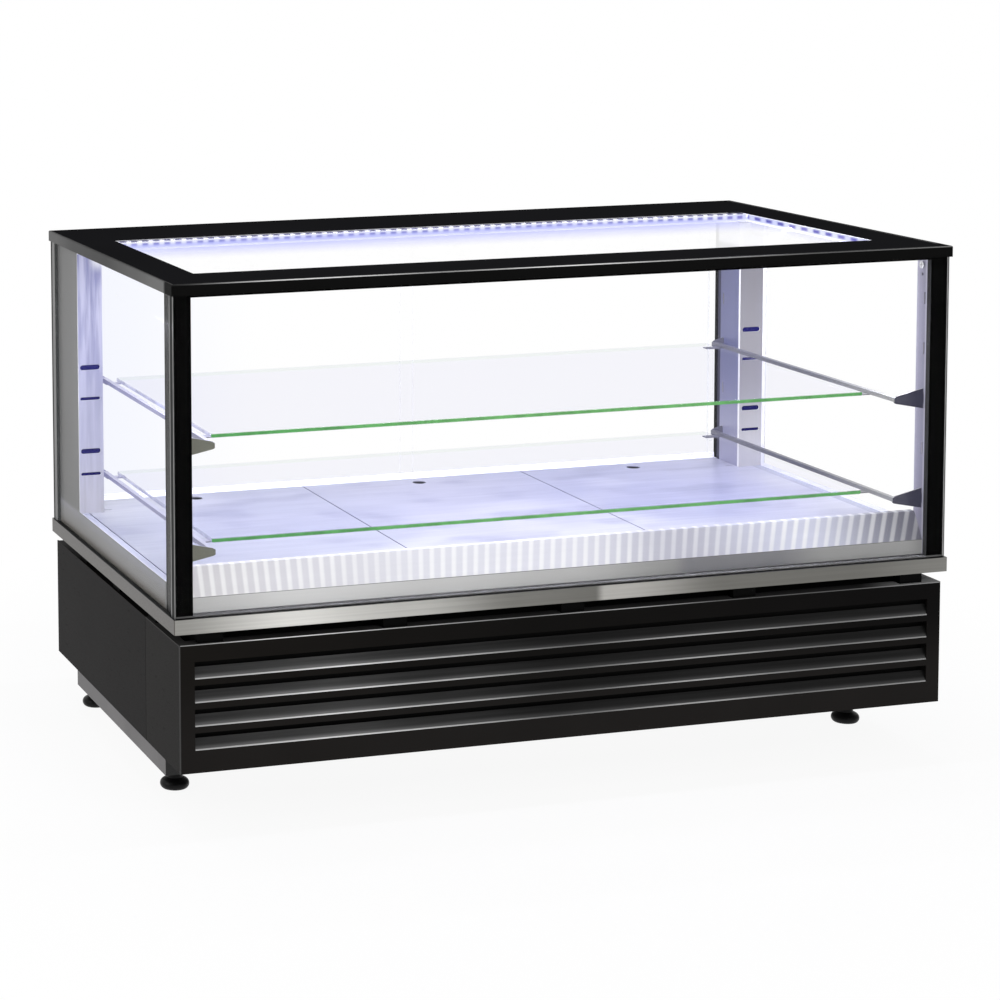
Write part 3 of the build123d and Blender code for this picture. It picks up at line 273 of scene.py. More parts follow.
# the tape with diodes lies in the groove of the white profile under the top glass
LED_Z = PROFILE_LOW.z + 7.5 * MM
LED_PITCH = 18 * MM
SIDE_LED_PITCH = 36 * MM
LED_TAPE_HALF = 4.4 * MM
LED_CHIP_HALF = 2.8 * MM
GROOVE_DEPTH = 8 * MM
# a clear sheet below the profile carries the painted glow of the lights
GLOW_SHEET_BOTTOM = 720.7 * MM
GLOW_SHEET_TOP = PROFILE_LOW.z - 0.2 * MM


# ---------------------------------------------------------------- tones that vary over a part, mostly painted light, shade and reflections


def fascia_tone(s):
    """Black sheet with painted light: lighter on the left and low down, painted shading on the louvre
    blades that lightens towards their lips, and painted highlights on the lips, the top edge, the top
    flange and the front left corner.
    """
    x, y, z = s.axes
    front_plane = s.ramp(y, FASCIA_LOW.y + 0.7 * MM, FASCIA_LOW.y + 1.2 * MM, 1, 0)
    top = FASCIA_HIGH.z
    # painted light: the front is lighter on the left and towards the bottom, and the left end takes its
    # own painted shade
    front = s.across(BASE_REACH, (rgb(25, 23, 21), rgb(17, 16, 15), rgb(13, 12, 12)))
    front = s.mix(s.ramp(z, 0.11, 0.23, 0.9, 0.0), front, rgb(32, 30, 29))
    colour = s.mix(s.looks(X, -1), front, rgb(22, 20, 19))
    above_first = s.math("ADD", z, LOUVRE_LIP / 2 - LOUVRE_FIRST)
    turns = s.math("FRACT", s.math("DIVIDE", above_first, LOUVRE_PITCH))
    above_lip = s.product(turns, LOUVRE_PITCH)
    inside = s.within(x, -LOUVRE_END, LOUVRE_END)
    light = s.across(INNER_REACH, [as_colour(v) for v in (0.5, 0.75, 0.36, 0.2, 0.22, 0.2, 0.24)])
    streak = s.ramp(s.noise(1.0, 3.0, (4, 1, 240), seed=4.4), 0.3, 0.7, 0.85, 1.15)
    # painted shading on the louvre blades, lighter towards their lips
    slope = s.stops(above_lip, 2 * MM, 17 * MM, (grey(154), grey(94), grey(96), grey(124)))
    blade = s.product(s.looks(Z, 1), inside, s.within(z, 0.1, 0.24))
    colour = s.mix(blade, colour, s.scaled(slope, s.product(s.split(light)[0], streak)))
    # painted highlight along each louvre lip
    lip = s.product(s.within(above_lip, 0.0, LOUVRE_LIP), s.within(x, -0.5695, 0.5695))
    lip = s.product(lip, s.within(z, 0.105, 0.22), front_plane)
    lip = s.product(lip, s.ramp(s.noise(3.0, 2.0), 0.3, 0.7, 0.8, 1.0))
    lit_lip = [grey(v) for v in (200, 255, 205, 125, 185, 130, 160)]
    colour = s.mix(lip, colour, s.across(INNER_REACH, lit_lip))
    # painted light on the top flange, brighter towards the right end
    flange = s.product(s.ramp(z, top - 1.7 * MM, top - 1.1 * MM), s.ramp(x, 0.46, 0.53, 0.12, 1))
    colour = s.mix(flange, colour, grey(150))
    # painted highlight along the front top edge
    top_edge = s.product(s.ramp(z, top - 1.4 * MM, top - 0.8 * MM), front_plane)
    lit_edge = [grey(v) for v in (150, 245, 180, 135, 170, 95, 95, 140)]
    colour = s.mix(top_edge, colour, s.across(BASE_REACH, lit_edge))
    # painted highlight down the front left corner
    left_end = s.ramp(x, FASCIA_LOW.x + 1.2 * MM, FASCIA_LOW.x + 1.7 * MM, 1, 0)
    corner = s.product(left_end, s.ramp(y, FASCIA_LOW.y + 1.4 * MM, FASCIA_LOW.y + 2.2 * MM, 1, 0))
    return s.mix(corner, colour, grey(70))


def pan_tone(s):
    """Zinc pan with its front in shade."""
    return s.mix(s.looks(Y, -1), rgb(98, 96, 97), grey(38))


def panel_tone(s):
    """Black panels; the faces towards the back carry a touch of painted shade."""
    return s.mix(s.looks(Y, 1), rgb(21, 19, 19), rgb(20, 19, 18))


def rim_tone(s):
    """Painted reflection of the room: bright at the front left, a second patch right of the middle; the
    side, the top and the underside take darker painted shading.
    """
    x, y, _ = s.axes
    room = [rgb(v, v - 1, v - 5) for v in (150, 220, 186, 124, 112, 114, 114, 132)]
    colour = s.across(FULL_REACH, room)
    patch = s.product(s.ramp(x, 0.030, 0.046), s.ramp(x, 0.06, 0.24, 1, 0))
    colour = s.mix(patch, colour, rgb(180, 178, 174))
    # painted shading on the left side, the top and the underside
    side = s.stops(y, -0.3, 0.3, (rgb(86, 83, 80), rgb(80, 77, 74)))
    colour = s.mix(s.looks(X, -1), colour, side)
    colour = s.mix(s.looks(Z, 1), colour, grey(54))
    return s.mix(s.looks(Z, -1), colour, grey(40))


def frame_tone(s):
    """Black; the left side carries a painted reflection of the room, the top a painted sheen, and the
    front top arris a thin painted highlight.
    """
    _, y, z = s.axes
    side = s.stops(y, -0.29, 0.31, [grey(v) for v in (114, 96, 78, 84, 102)])
    side = s.mix(s.ramp(y, -0.296, -0.284, 1, 0), side, grey(9))
    # painted sheen: the top faces are lighter than the black front
    colour = s.mix(s.looks(Z, 1), grey(14), grey(38))
    colour = s.mix(s.looks(X, -1), colour, side)
    # painted highlight along the front top arris
    top_line = s.ramp(z, FRAME_HIGH.z - 1.7 * MM, FRAME_HIGH.z - 1.1 * MM)
    arris = s.product(top_line, s.ramp(y, FRAME_LOW.y + 0.8 * MM, FRAME_LOW.y + 1.4 * MM, 1, 0))
    bright = s.across(FULL_REACH, [grey(v) for v in (40, 250, 170, 255, 160, 100, 130)])
    return s.mix(arris, colour, bright)


def post_tone(s):
    """Black; the outward side carries a grey strip of painted reflection, kept black along its rear
    edge.
    """
    black_edge = s.ramp(s.axes[Y], 0.3150, 0.3156, 1, 0)
    # painted reflection: grey on the outward side, black along the rear edge
    strip = s.product(s.ramp(s.outward(X), 0.4, 0.7), black_edge)
    return s.mix(strip, grey(30), grey(128))


def side_print_tone(s):
    """Print that is grey towards the room, with painted shading gradients over its bands, and painted
    white where its faces look into the lit case.
    """
    _, y, z = s.axes
    front, foot = BORDER_LOW.y, BORDER_LOW.z
    # painted shading: the rear band and the front strip darken towards the back, and the strip lightens
    # towards the bottom
    rear = s.stops(y, BORDER_REAR_EDGE, 0.3, (grey(116), grey(112), grey(108)))
    strip = s.stops(y, front, front + 32.5 * MM, (grey(56), grey(48), grey(40), grey(32)))
    strip = s.mix(s.ramp(z, 0.30, 0.70, 0.5, 0.0), strip, grey(76))
    strip = s.mix(s.past(y, BORDER_FRONT_BLACK, 0.5 * MM), strip, grey(4))
    colour = s.mix(s.past(y, BORDER_FRONT_EDGE, 0.1 * MM), strip, grey(116))
    colour = s.mix(s.past(y, BORDER_REAR_EDGE, 0.2 * MM), colour, rear)
    # painted shading up the lower band
    low_tones = (rgb(112, 108, 104), grey(128), rgb(138, 138, 144))
    lower = s.stops(z, foot, foot + 39 * MM, low_tones)
    low_band = s.product(s.ramp(z, 0.330, 0.34, 1, 0), s.ramp(y, -0.264, -0.255))
    colour = s.mix(low_band, colour, lower)
    # painted light: faces towards the inside are white as lit by the strips
    return s.mix(s.ramp(s.outward(X), -0.5, 0.5), WHITE, colour)


def front_edge_tone(s):
    """Black along the top and bottom; the two ends carry grey painted light where the glass edges catch
    it.
    """
    return s.mix(s.square_to(X), rgb(16, 18, 18), grey(150))


def upright_tone(s):
    """Folded stainless: every face takes a different shade of the cold strip light."""
    x, y, z = s.axes
    right = s.right_half()
    shine = s.ramp(s.noise(1.0, 3.0, (95, 1, 7), seed=3.4), 0.40, 0.66)
    patch = s.ramp(z, 0.48, 0.66, 0.3, 0.65)
    shades = (rgb(188, 187, 200), rgb(172, 173, 200), rgb(154, 155, 191), rgb(130, 132, 178))
    ground = s.stops(z, 0.33, 0.73, shades)
    left_front = s.mix(s.product(shine, patch), ground, rgb(216, 216, 238))
    glare = s.product(s.ramp(z, 0.705, 0.735), s.ramp(x, -0.575, -0.555))
    left_front = s.mix(glare, left_front, WHITE)
    right_front = s.stops(z, 0.33, 0.70, (rgb(204, 203, 214), rgb(158, 156, 164), rgb(130, 128, 136)))
    front = s.mix(right, left_front, right_front)
    side = s.stops(z, 0.33, 0.70, (rgb(160, 160, 188), rgb(110, 113, 150), rgb(92, 95, 130)))
    side = s.mix(s.ramp(y, 0.259, 0.262), side, rgb(24, 24, 62))
    # painted reflection of the top pane veiling the top of the right upright
    top = s.product(right, s.ramp(z, 0.698, 0.705), s.ramp(y, 0.0, 0.1))
    side = s.mix(top, side, rgb(236, 236, 250))
    front = s.mix(top, front, rgb(244, 244, 252))
    # painted highlight along the fold
    fold = s.ramp(y, UPRIGHT_LOW.y + 3.5 * MM, UPRIGHT_LOW.y + 6.5 * MM, 1, 0)
    side = s.mix(fold, side, rgb(246, 246, 252))
    post_shades = (rgb(196, 196, 210), rgb(130, 128, 146), rgb(142, 140, 160), rgb(164, 162, 180))
    front_post = s.stops(y, -0.299, -0.270, post_shades)
    side = s.mix(s.ramp(y, -0.2, -0.1, 1, 0), side, front_post)
    return s.mix(s.looks(Y, -1), side, front)


def rail_tone(s):
    """Steel rails painted lavender-grey by the strip light, lighter on top and towards the back; the
    left gusset takes warm grey painted light, the right one painted shade.
    """
    y, right = s.axes[Y], s.right_half()
    plate = s.mix(right, rgb(114, 115, 104), rgb(66, 66, 84))
    rail = s.stops(y, -0.28, 0.24, (rgb(124, 124, 150), rgb(150, 150, 186)))
    rail = s.mix(s.looks(Z, 1), rail, rgb(178, 178, 200))
    shaded = s.stops(y, -0.28, 0.24, (grey(150), rgb(96, 97, 108), rgb(112, 112, 128)))
    rail = s.mix(right, rail, shaded)
    gusset = s.product(s.looks(Y, -1), s.ramp(y, -0.25, -0.2, 1, 0))
    return s.mix(gusset, rail, plate)


def spacer_tone(s):
    """Black between the panes; its lower bar and its ends catch some light."""
    lower_bar = s.ramp(s.axes[Z], GLASS_LOW.z + 1.6 * MM, GLASS_LOW.z + 3 * MM, 1, 0)
    return s.mix(s.square_to(X), s.mix(lower_bar, grey(7), grey(120)), grey(60))


def deck_tone(s):
    """Steel sheet painted lavender by the strip light, with soft white painted reflections of the
    lights and smaller darker painted reflections.
    """
    left = (rgb(192, 195, 214), rgb(202, 205, 222), rgb(206, 207, 224))
    right = (rgb(188, 191, 218), rgb(214, 215, 236))
    colour = s.across(INNER_REACH, left + right)
    # painted reflections: soft white patches and smaller darker ones
    patch = s.ramp(s.noise(3.6, 1.0, (1.0, 1.4, 1), seed=5.2), 0.46, 0.66)
    small = s.ramp(s.noise(9.0, 1.0, (1, 1.6, 1), seed=1.2), 0.5, 0.75)
    colour = s.mix(s.product(patch, 0.65), colour, rgb(238, 239, 248))
    colour = s.mix(s.product(small, 0.5), colour, rgb(164, 166, 196))
    seam = s.wave(s.math("SUBTRACT", s.axes[X], DECK_HIGH.x + 1 * MM), DECK_PLATE_WIDTH)
    return s.mix(s.ramp(seam, 0.99985, 0.99999), colour, rgb(110, 112, 140))


def sill_tone(s):
    """The slope mirrors the row of lights as leaning streaks of painted reflection; the upstand is
    silver with painted shading across it, and the fold carries a thin line of painted shade.
    """
    x, _, z = s.axes
    left = (rgb(212, 210, 214), rgb(218, 217, 224), rgb(224, 224, 232))
    right = (rgb(224, 224, 234), rgb(186, 186, 200), rgb(212, 214, 232), rgb(112, 112, 124))
    ground = s.across(INNER_REACH, left + right)
    lean = s.across(INNER_REACH, [as_colour(v) for v in (0.0452, 0.305, 0.515)])
    spread = s.math("MULTIPLY_ADD", s.product(x, x), -0.065, x)
    leaning = s.math("MULTIPLY_ADD", s.math("SUBTRACT", 0.337, z), s.split(lean)[0], spread)
    streak = s.ramp(s.wave(leaning, STREAK_PITCH), 0.35, 0.95)
    fade = s.ramp(s.noise(4.0, 2.0, seed=7.7), 0.36, 0.6, 0.45, 1.0)
    fade = s.product(fade, s.ramp(x, 0.1, 0.35, 0.6, 0.95), s.ramp(x, 0.5, 0.57, 1, 0.5))
    slope = s.mix(s.product(streak, fade), ground, WHITE)
    # painted shading across the upstand
    upstand = s.across(FULL_REACH, [grey(v) for v in (192, 224, 208, 194, 150, 156, 158)])
    shade = s.product(s.ramp(x, 0.165, 0.195), s.ramp(x, 0.33, 0.42, 1, 0))
    upstand = s.mix(shade, upstand, rgb(128, 128, 133))
    colour = s.mix(s.ramp(s.facing[Z], 0.15, 0.3), upstand, slope)
    # painted shade in the crease of the fold
    fold_line = s.within(z, SILL_LOW.z + 20.4 * MM, SILL_LOW.z + 21.1 * MM, 0.2 * MM)
    return s.mix(fold_line, colour, grey(96))


def track_tone(s):
    """White plastic, lit from inside the case and in plain room light on the outside."""
    return s.mix(s.looks(Y, 1), WHITE_PLASTIC, rgb(178, 178, 182))


def led_profile_tone(s):
    """White extrusion, painted lavender by the strip light below the tape, with a navy scallop of
    painted shade above each light of the back row.
    """
    x, y, z = s.axes
    pulse = s.ramp(s.wave(s.math("SUBTRACT", x, LED_PITCH / 2), LED_PITCH), 0.1, 0.6)
    top, back = PROFILE_HIGH.z, PROFILE_HIGH.y
    lip = s.ramp(z, top - 2 * MM, top - 1.4 * MM)
    lip = s.product(lip, s.ramp(y, back - 11 * MM, back - 10 * MM))
    # painted lavender light below the tape
    below_tape = s.ramp(z, PROFILE_LOW.z - 0.5 * MM, PROFILE_LOW.z + 5.5 * MM, 0.0, 0.75)
    lilac = s.mix(below_tape, WHITE_PLASTIC, rgb(176, 182, 255))
    lilac = s.mix(s.past(z, LED_Z, 1.5 * MM), lilac, WHITE_PLASTIC)
    return s.mix(s.product(pulse, lip, 0.8), lilac, rgb(48, 46, 110))


# ---------------------------------------------------------------- finishes
def resolve(s, tone):
    """A tone is either a value or a function that builds one in the material."""
    return tone(s) if callable(tone) else tone


def coated(name, tone, roughness, specular=0.3, grain=900.0, mottle=0.10):
    """Powder-coated sheet: fine orange peel, soft mottling and faint scuffs."""
    s = Shader(name)
    peel = s.noise(grain, 3.0)
    cloud = s.ramp(s.noise(7.0, 3.0, seed=3.1), 0.3, 0.7, 1 - mottle, 1 + mottle)
    scuff = s.ramp(s.noise(60.0, 6.0, (1, 1, 5), seed=8.0), 0.62, 0.78, 0.0, 0.1)
    rough = s.math("ADD", scuff, s.ramp(peel, 0.3, 0.7, roughness - 0.05, roughness + 0.05))
    colour = s.scaled(resolve(s, tone), cloud)
    return s.finish(s.principled(colour, rough, 0.0, s.bump(peel, 0.06, 0.2 * MM), specular))


def brushed(name, tone, roughness, stretch, metallic=1.0, glow=0.0, body=1.0, wear=0.07):
    """Brushed stainless: streaks along the sheet, cloudy handling marks, fine scratches; glow paints in
    strip light, body scales the base colour under it.
    """
    s = Shader(name)
    streak = s.noise(1.0, 4.0, stretch, seed=1.0)
    fine = s.noise(2.6, 3.0, stretch, seed=5.0)
    cloud = s.noise(5.0, 4.0, seed=2.0)
    mixed = s.math("MULTIPLY_ADD", streak, 0.6, s.product(cloud, 0.4))
    shade = s.scaled(resolve(s, tone), s.ramp(mixed, 0.3, 0.7, 1 - wear, 1 + wear))
    rough = s.ramp(fine, 0.25, 0.75, roughness - 0.06, roughness + 0.08)
    lit = (shade, glow) if glow else None
    base = s.scaled(shade, body)
    return s.finish(s.principled(base, rough, metallic, s.bump(streak, 0.06, 0.3 * MM), 0.5, lit))


def moulded(name, tone, roughness, specular=0.35, grain=1500.0, glow=0.0):
    """Moulded plastic or rubber with a fine spark-eroded texture; glow paints in light from the strips.
    """
    s = Shader(name)
    texture = s.noise(grain, 2.0)
    cloud = s.noise(18.0, 3.0, seed=4.0)
    colour = s.scaled(resolve(s, tone), s.ramp(cloud, 0.3, 0.7, 0.88, 1.12))
    rough = s.ramp(cloud, 0.3, 0.7, roughness - 0.06, roughness + 0.06)
    lit = (colour, glow) if glow else None
    return s.finish(s.principled(colour, rough, 0.0, s.bump(texture, 0.1, 0.2 * MM), specular, lit))


def printed(name, tone, specular, roughness=0.3):
    """Ceramic print on glass: deep and smooth, with pin-prick texture."""
    s = Shader(name)
    pores = s.noise(1800.0, 1.0)
    cloud = s.ramp(s.noise(4.0, 2.0, seed=2.5), 0.3, 0.7, 0.96, 1.05)
    rough = s.ramp(pores, 0.3, 0.7, roughness - 0.05, roughness + 0.07)
    colour = s.scaled(resolve(s, tone), cloud)
    return s.finish(s.principled(colour, rough, 0.0, s.bump(pores, 0.03, 0.1 * MM), specular))


def outside(s, axis, sign):
    """1 where the outer face of the glass box is seen from the room; sign 0 means both sides."""
    faced = s.math("MULTIPLY", s.facing[axis], sign) if sign else s.outward(axis)
    return s.product(s.ramp(faced, 0.5, 0.8), s.front_side())


def pane(name, axis, sign, tint, sheen, edge_tone, edge_glow, edge_cover, veil=None):
    """A clear pane whose outer face looks along sign * axis.

    Faces let the light through their tint with a faint smeared sheen and, if a veil is given,
    a painted reflection of the ceiling. Edges have a tone that glows and covers what is behind it by
    edge_cover.
    """
    s = Shader(name)
    is_face = s.square_to(axis, 0.6, 0.8)
    smear = s.ramp(s.noise(3.0, 3.0, seed=6.0), 0.3, 0.7, 0.85, 1.15)
    gloss = s.node("ShaderNodeBsdfGlossy")
    s.put(gloss.inputs["Color"], WHITE)
    s.put(gloss.inputs["Roughness"], s.ramp(s.noise(25.0, 3.0, seed=7.0), 0.3, 0.7, 0.02, 0.05))
    fresnel = s.node("ShaderNodeFresnel")
    fresnel.inputs["IOR"].default_value = 1.5
    amount = s.product(fresnel.outputs[0], sheen, smear, outside(s, axis, sign))
    face = s.blend(amount, s.clear(resolve(s, tint)), gloss.outputs[0])
    if veil:
        # painted reflection of the ceiling, white at the front turning lavender towards the back
        ceiling_reflection_share = s.product(fresnel.outputs[0], outside(s, axis, sign), veil(s))
        ceiling_reflection_tone = s.mix(s.ramp(s.axes[Y], -0.08, 0.13), WHITE, LAVENDER_REFLECTION)
        face = s.blend(s.math("MINIMUM", ceiling_reflection_share, 0.8), face, s.emission(ceiling_reflection_tone, 1.0))
    ripple = s.ramp(s.noise(45.0, 3.0, seed=9.0), 0.3, 0.7, 0.85, 1.15)
    colour = s.scaled(resolve(s, edge_tone), ripple)
    edge = s.principled(s.scaled(colour, 0.4), 0.15, 0.0, None, 0.2, (colour, edge_glow))
    edge = s.blend(resolve(s, edge_cover), s.clear(WHITE), edge)
    return s.finish(s.blend(is_face, edge, face))


def top_veil(s):
    """Painted reflection of the ceiling over the middle of the top pane, thin over the light strips."""
    x, y, _ = s.axes
    clear_of_strips = s.product(s.ramp(y, 0.06, 0.15, 1, 0), s.ramp(x, 0.36, 0.52, 1, 0))
    return s.product(clear_of_strips, 3.0)


def shelf_edge_tone(s):
    """Front and back edges show the green of the glass, the ends take lavender-grey painted strip
    light.
    """
    green = s.across(SHELF_REACH, (rgb(84, 158, 88), rgb(104, 170, 100), rgb(92, 160, 92)))
    return s.mix(s.square_to(Y, 0.3, 0.7), rgb(176, 178, 204), green)


def shelf_edge_cover(s):
    """The edge turned away from the viewer hardly shows through the pane."""
    return s.ramp(s.front_side(), 0.2, 0.8, 0.10, 1.0)


def door_lavender_cast(s):
    """Clear, with a trace of painted lavender strip light on the left."""
    return s.stops(s.axes[X], -0.56, 0.1, (rgb(250, 251, 255), WHITE, WHITE))


FINISH = {
    "pan": coated("pan_coat", pan_tone, 0.5),
    "fascia": coated("fascia_coat", fascia_tone, 0.5, specular=0.03, mottle=0.06),
    "base": coated("base_coat", panel_tone, 0.5, specular=0.025),
    "frame": coated("frame_coat", frame_tone, 0.5, specular=0.02, grain=700.0, mottle=0.05),
    "post": coated("post_coat", post_tone, 0.5, specular=0.05),
    "band": brushed("band_steel", rim_tone, 0.34, (3, 260, 420)),
    "liner": brushed("liner_steel", rgb(190, 190, 194), 0.35, (3, 260, 420)),
    # the inner steel parts glow with painted strip light (glow), their base colour scaled down (body)
    "deck": brushed(
        "deck_steel", deck_tone, 0.35, (2, 40, 40), metallic=0.0, glow=0.25, body=0.45, wear=0.015
    ),
    "sill": brushed(
        "sill_steel", sill_tone, 0.35, (3, 200, 200), metallic=0.1, glow=0.55, body=0.4, wear=0.02
    ),
    "upright": brushed(
        "upright_steel", upright_tone, 0.35, (300, 300, 4), metallic=0.1, glow=0.6, body=0.35, wear=0.03
    ),
    "rail": brushed(
        "rail_steel", rail_tone, 0.35, (200, 6, 200), metallic=0.1, glow=0.5, body=0.4, wear=0.04
    ),
    "screw": brushed("screw_steel", rgb(200, 200, 202), 0.2, (400, 400, 400)),
    # the foam skin is near-black as painted shade in the gap under the rim
    "foam": moulded("foam_skin_in_painted_shade", grey(24), 0.9, specular=0.05),
    "hose": moulded("hose_plastic", rgb(150, 150, 148), 0.5),
    "tray": moulded("tray_plastic", rgb(40, 40, 41), 0.5),
    "rubber": moulded("pad_rubber", grey(7), 0.75, specular=0.05),
    "foot": moulded("foot_plastic", rgb(9, 9, 10), 0.4, specular=0.15),
    "edge": moulded("edge_spacer", spacer_tone, 0.6, specular=0.0),
    "print_top": printed("top_print", rgb(31, 31, 33), specular=0.0, roughness=0.6),
    "print_side": printed("side_print", side_print_tone, specular=0.04),
    # the tracks and the light profile glow with painted strip light
    "track": moulded("track_plastic", track_tone, 0.4, specular=0.2, glow=0.5),
    "led_profile": moulded("led_profile_coat", led_profile_tone, 0.4, specular=0.2, glow=0.5),
    "fins": brushed("coil_fins", rgb(196, 198, 202), 0.35, (900, 60, 20)),
    "shell": coated("compressor_enamel", rgb(18, 18, 19), 0.22, specular=0.5),
    "shroud": coated("shroud_zinc", rgb(150, 152, 154), 0.4),
    "fan": moulded("fan_plastic", rgb(26, 26, 27), 0.45),
    "copper": brushed("pipe_copper", rgb(190, 116, 80), 0.3, (60, 60, 60)),
    "box": coated("box_coat", rgb(168, 170, 172), 0.45),
    "control": moulded("control_plastic", rgb(24, 24, 25), 0.5),
    "key": moulded("key_rubber", rgb(105, 107, 110), 0.6),
    "rocker_green": moulded("rocker_green", rgb(40, 150, 70), 0.25, specular=0.5, grain=600.0),
    "rocker_black": moulded("rocker_black", grey(20), 0.25, specular=0.5, grain=600.0),
    "front_glass": pane("front_pane", Y, -1, WHITE, 0.04, front_edge_tone, 0.1, 1.0),
    "side_glass": pane("side_pane", X, 0, WHITE, 0.05, rgb(122, 126, 126), 0.1, 0.8),
    "top_pane": pane("top_pane", Z, 1, WHITE, 0.02, rgb(20, 26, 26), 0.05, 0.9, veil=top_veil),
    "shelf_glass": pane(
        "shelf_pane", Z, 1, rgb(250, 250, 253), 0.04, shelf_edge_tone, 0.62, shelf_edge_cover
    ),
    "door_glass": pane("door_pane", Y, 1, door_lavender_cast, 0.25, CLEAR_EDGE, 0.6, 0.25),
    "acrylic": pane("clear_acrylic", Y, 1, WHITE, 0.2, CLEAR_EDGE, 0.6, 0.25),
}
WEARS = {
    "pan": ("base_chassis",),
    "fascia": ("front_fascia",),
    "base": ("left_side_panel", "right_side_panel", "rear_panel"),
    "frame": ("top_frame",),
    "post": ("rear_posts",),
    "band": ("rim_frame",),
    "liner": ("tub_liner", "deck_support"),
    "deck": ("deck_plates",),
    "sill": ("front_sill",),
    "upright": ("front_uprights", "rear_uprights"),
    "rail": ("upper_shelf_rails", "lower_shelf_rails"),
    "screw": ("panel_screws",),
    "foam": ("tub_foam",),
    "hose": ("drain_hose",),
    "tray": ("evaporation_tray",),
    "rubber": ("rim_spacers", "compressor_mounts"),
    "foot": ("foot_front_left", "foot_front_right", "foot_back_left", "foot_back_right"),
    "edge": ("front_glass_spacer",),
    "print_top": ("top_glass_border",),
    "print_side": ("side_glass_borders",),
    "track": ("door_track_top", "door_track_bottom"),
    "led_profile": ("led_profiles",),
    "fins": ("condenser_coil", "evaporator_coil"),
    "shell": ("compressor",),
    "shroud": ("condenser_shroud", "evaporator_fan_frame"),
    "fan": ("condenser_fan", "evaporator_fan"),
    "copper": ("filter_drier", "refrigerant_pipes"),
    "box": ("electrical_box",),
    "control": ("controller_body", "switch_bezel", "power_inlet"),
    "key": ("key_set", "key_down", "key_up"),
    "rocker_green": ("main_rocker",),
    "rocker_black": ("light_rocker",),
    "front_glass": ("front_glass_outer", "front_glass_inner"),
    "side_glass": ("side_glasses",),
    "top_pane": ("top_glass",),
    "shelf_glass": ("upper_shelf", "lower_shelf"),
    "door_glass": ("left_door_glass", "right_door_glass"),
    "acrylic": ("left_door_grip", "right_door_grip"),
}
for finish_name, node_names in WEARS.items():
    for node_name in node_names:
        mesh = NODES[node_name].data
        mesh.materials.clear()
        mesh.materials.append(FINISH[finish_name])


# ---------------------------------------------------------------- new pieces
def rounded_block(mesh, low, high, radius, segments=2):
    """Adds a block between two corners with rounded edges."""
    low, high = Vector(low), Vector(high)
    made = bmesh.ops.create_cube(mesh, size=1.0)["verts"]
    for vert in made:
        for axis in (X, Y, Z):
            vert.co[axis] = low[axis] if vert.co[axis] < 0 else high[axis]
    edges = {edge for vert in made for edge in vert.link_edges}
    bmesh.ops.bevel(
        mesh, geom=list(edges), offset=radius, segments=segments, affect="EDGES", profile=0.5
    )


def span(a, b):
    """The low and high corners of the block between two points."""
    return Vector(map(min, a, b)), Vector(map(max, a, b))


def piece(name, mesh, material):
    """Turns mesh code into an object that rides on the cabinet."""
    data = bpy.data.meshes.new(name)
    mesh.to_mesh(data)
    mesh.free()
    data.materials.append(material)
    made = bpy.data.objects.new(name, data)
    bpy.context.scene.collection.objects.link(made)
    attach(made, CABINET)


def strip_light(name, run, centre, pitch):
    """White tape with soft lavender squares where the diodes sit; run is the axis it lies along."""
    s = Shader(name)
    along, z = s.axes[run], s.axes[Z]
    pulse = s.wave(s.math("SUBTRACT", along, centre), pitch)
    height = s.math("ABSOLUTE", s.math("SUBTRACT", z, LED_Z))
    chip = s.product(s.ramp(pulse, 0.05, 0.85), s.ramp(height, 0.9 * MM, LED_TAPE_HALF, 1, 0))
    halo = s.product(s.ramp(height, 2 * MM, 7 * MM, 0.7, 0.2), s.ramp(s.noise(3.0), 0.35, 0.65))
    colour = s.mix(halo, rgb(246, 248, 255), rgb(184, 192, 255))
    cool = s.mix(s.ramp(s.noise(24.0, 2.0, seed=2.0), 0.4, 0.6), rgb(98, 98, 190), rgb(140, 136, 214))
    return s.finish(s.emission(s.mix(chip, colour, cool), 1.0))


def glow_sheet_material():
    """A clear sheet under the strips with a painted lavender glow of the lights that fades out
    downwards.
    """
    s = Shader("led_glow_sheet")
    fade = s.ramp(s.axes[Z], GLOW_SHEET_BOTTOM - 0.2 * MM, GLOW_SHEET_TOP + 1.7 * MM, 0.0, 0.8)
    drift = s.ramp(s.noise(2.6, 2.0, seed=1.0), 0.3, 0.65, 0.45, 1.0)
    ends = s.ramp(s.math("ABSOLUTE", s.axes[X]), 0.36, 0.54, 1.0, 0.35)
    glow = s.emission(s.mix(s.noise(20.0), rgb(186, 184, 248), rgb(204, 206, 255)), 1.0)
    return s.finish(s.blend(s.product(fade, drift, ends), s.clear(WHITE), glow))


def light_strip(name, start, end, inward, run, pitch, half_chip):
    """A tape from start to end along the run axis, with raised diodes on its inward side."""
    start, end, inward = Vector(start), Vector(end), Vector(inward)
    length = (end - start).length
    count = int(length / pitch)
    middle = (start + end) / 2
    glow = strip_light(f"{name}_light", run, middle[run] + (0 if count % 2 else pitch / 2), pitch)
    tape = bmesh.new()
    half_height = Vector((0, 0, LED_TAPE_HALF))
    low, high = span(start + inward * 0.05 * MM, end + inward * 0.5 * MM)
    rounded_block(tape, low - half_height, high + half_height, 0.1 * MM, 1)
    piece(f"{name}_tape", tape, glow)
    chips = bmesh.new()
    across = Vector((0, 0, LED_CHIP_HALF))
    across[run] = half_chip
    for index in range(count):
        offset = (index - (count - 1) / 2) * pitch
        centre = middle + (end - start).normalized() * offset
        low, high = span(centre + inward * 0.2 * MM, centre + inward * 0.95 * MM)
        rounded_block(chips, low - across, high + across, 0.3 * MM, 1)
    piece(f"{name}_diodes", chips, glow)


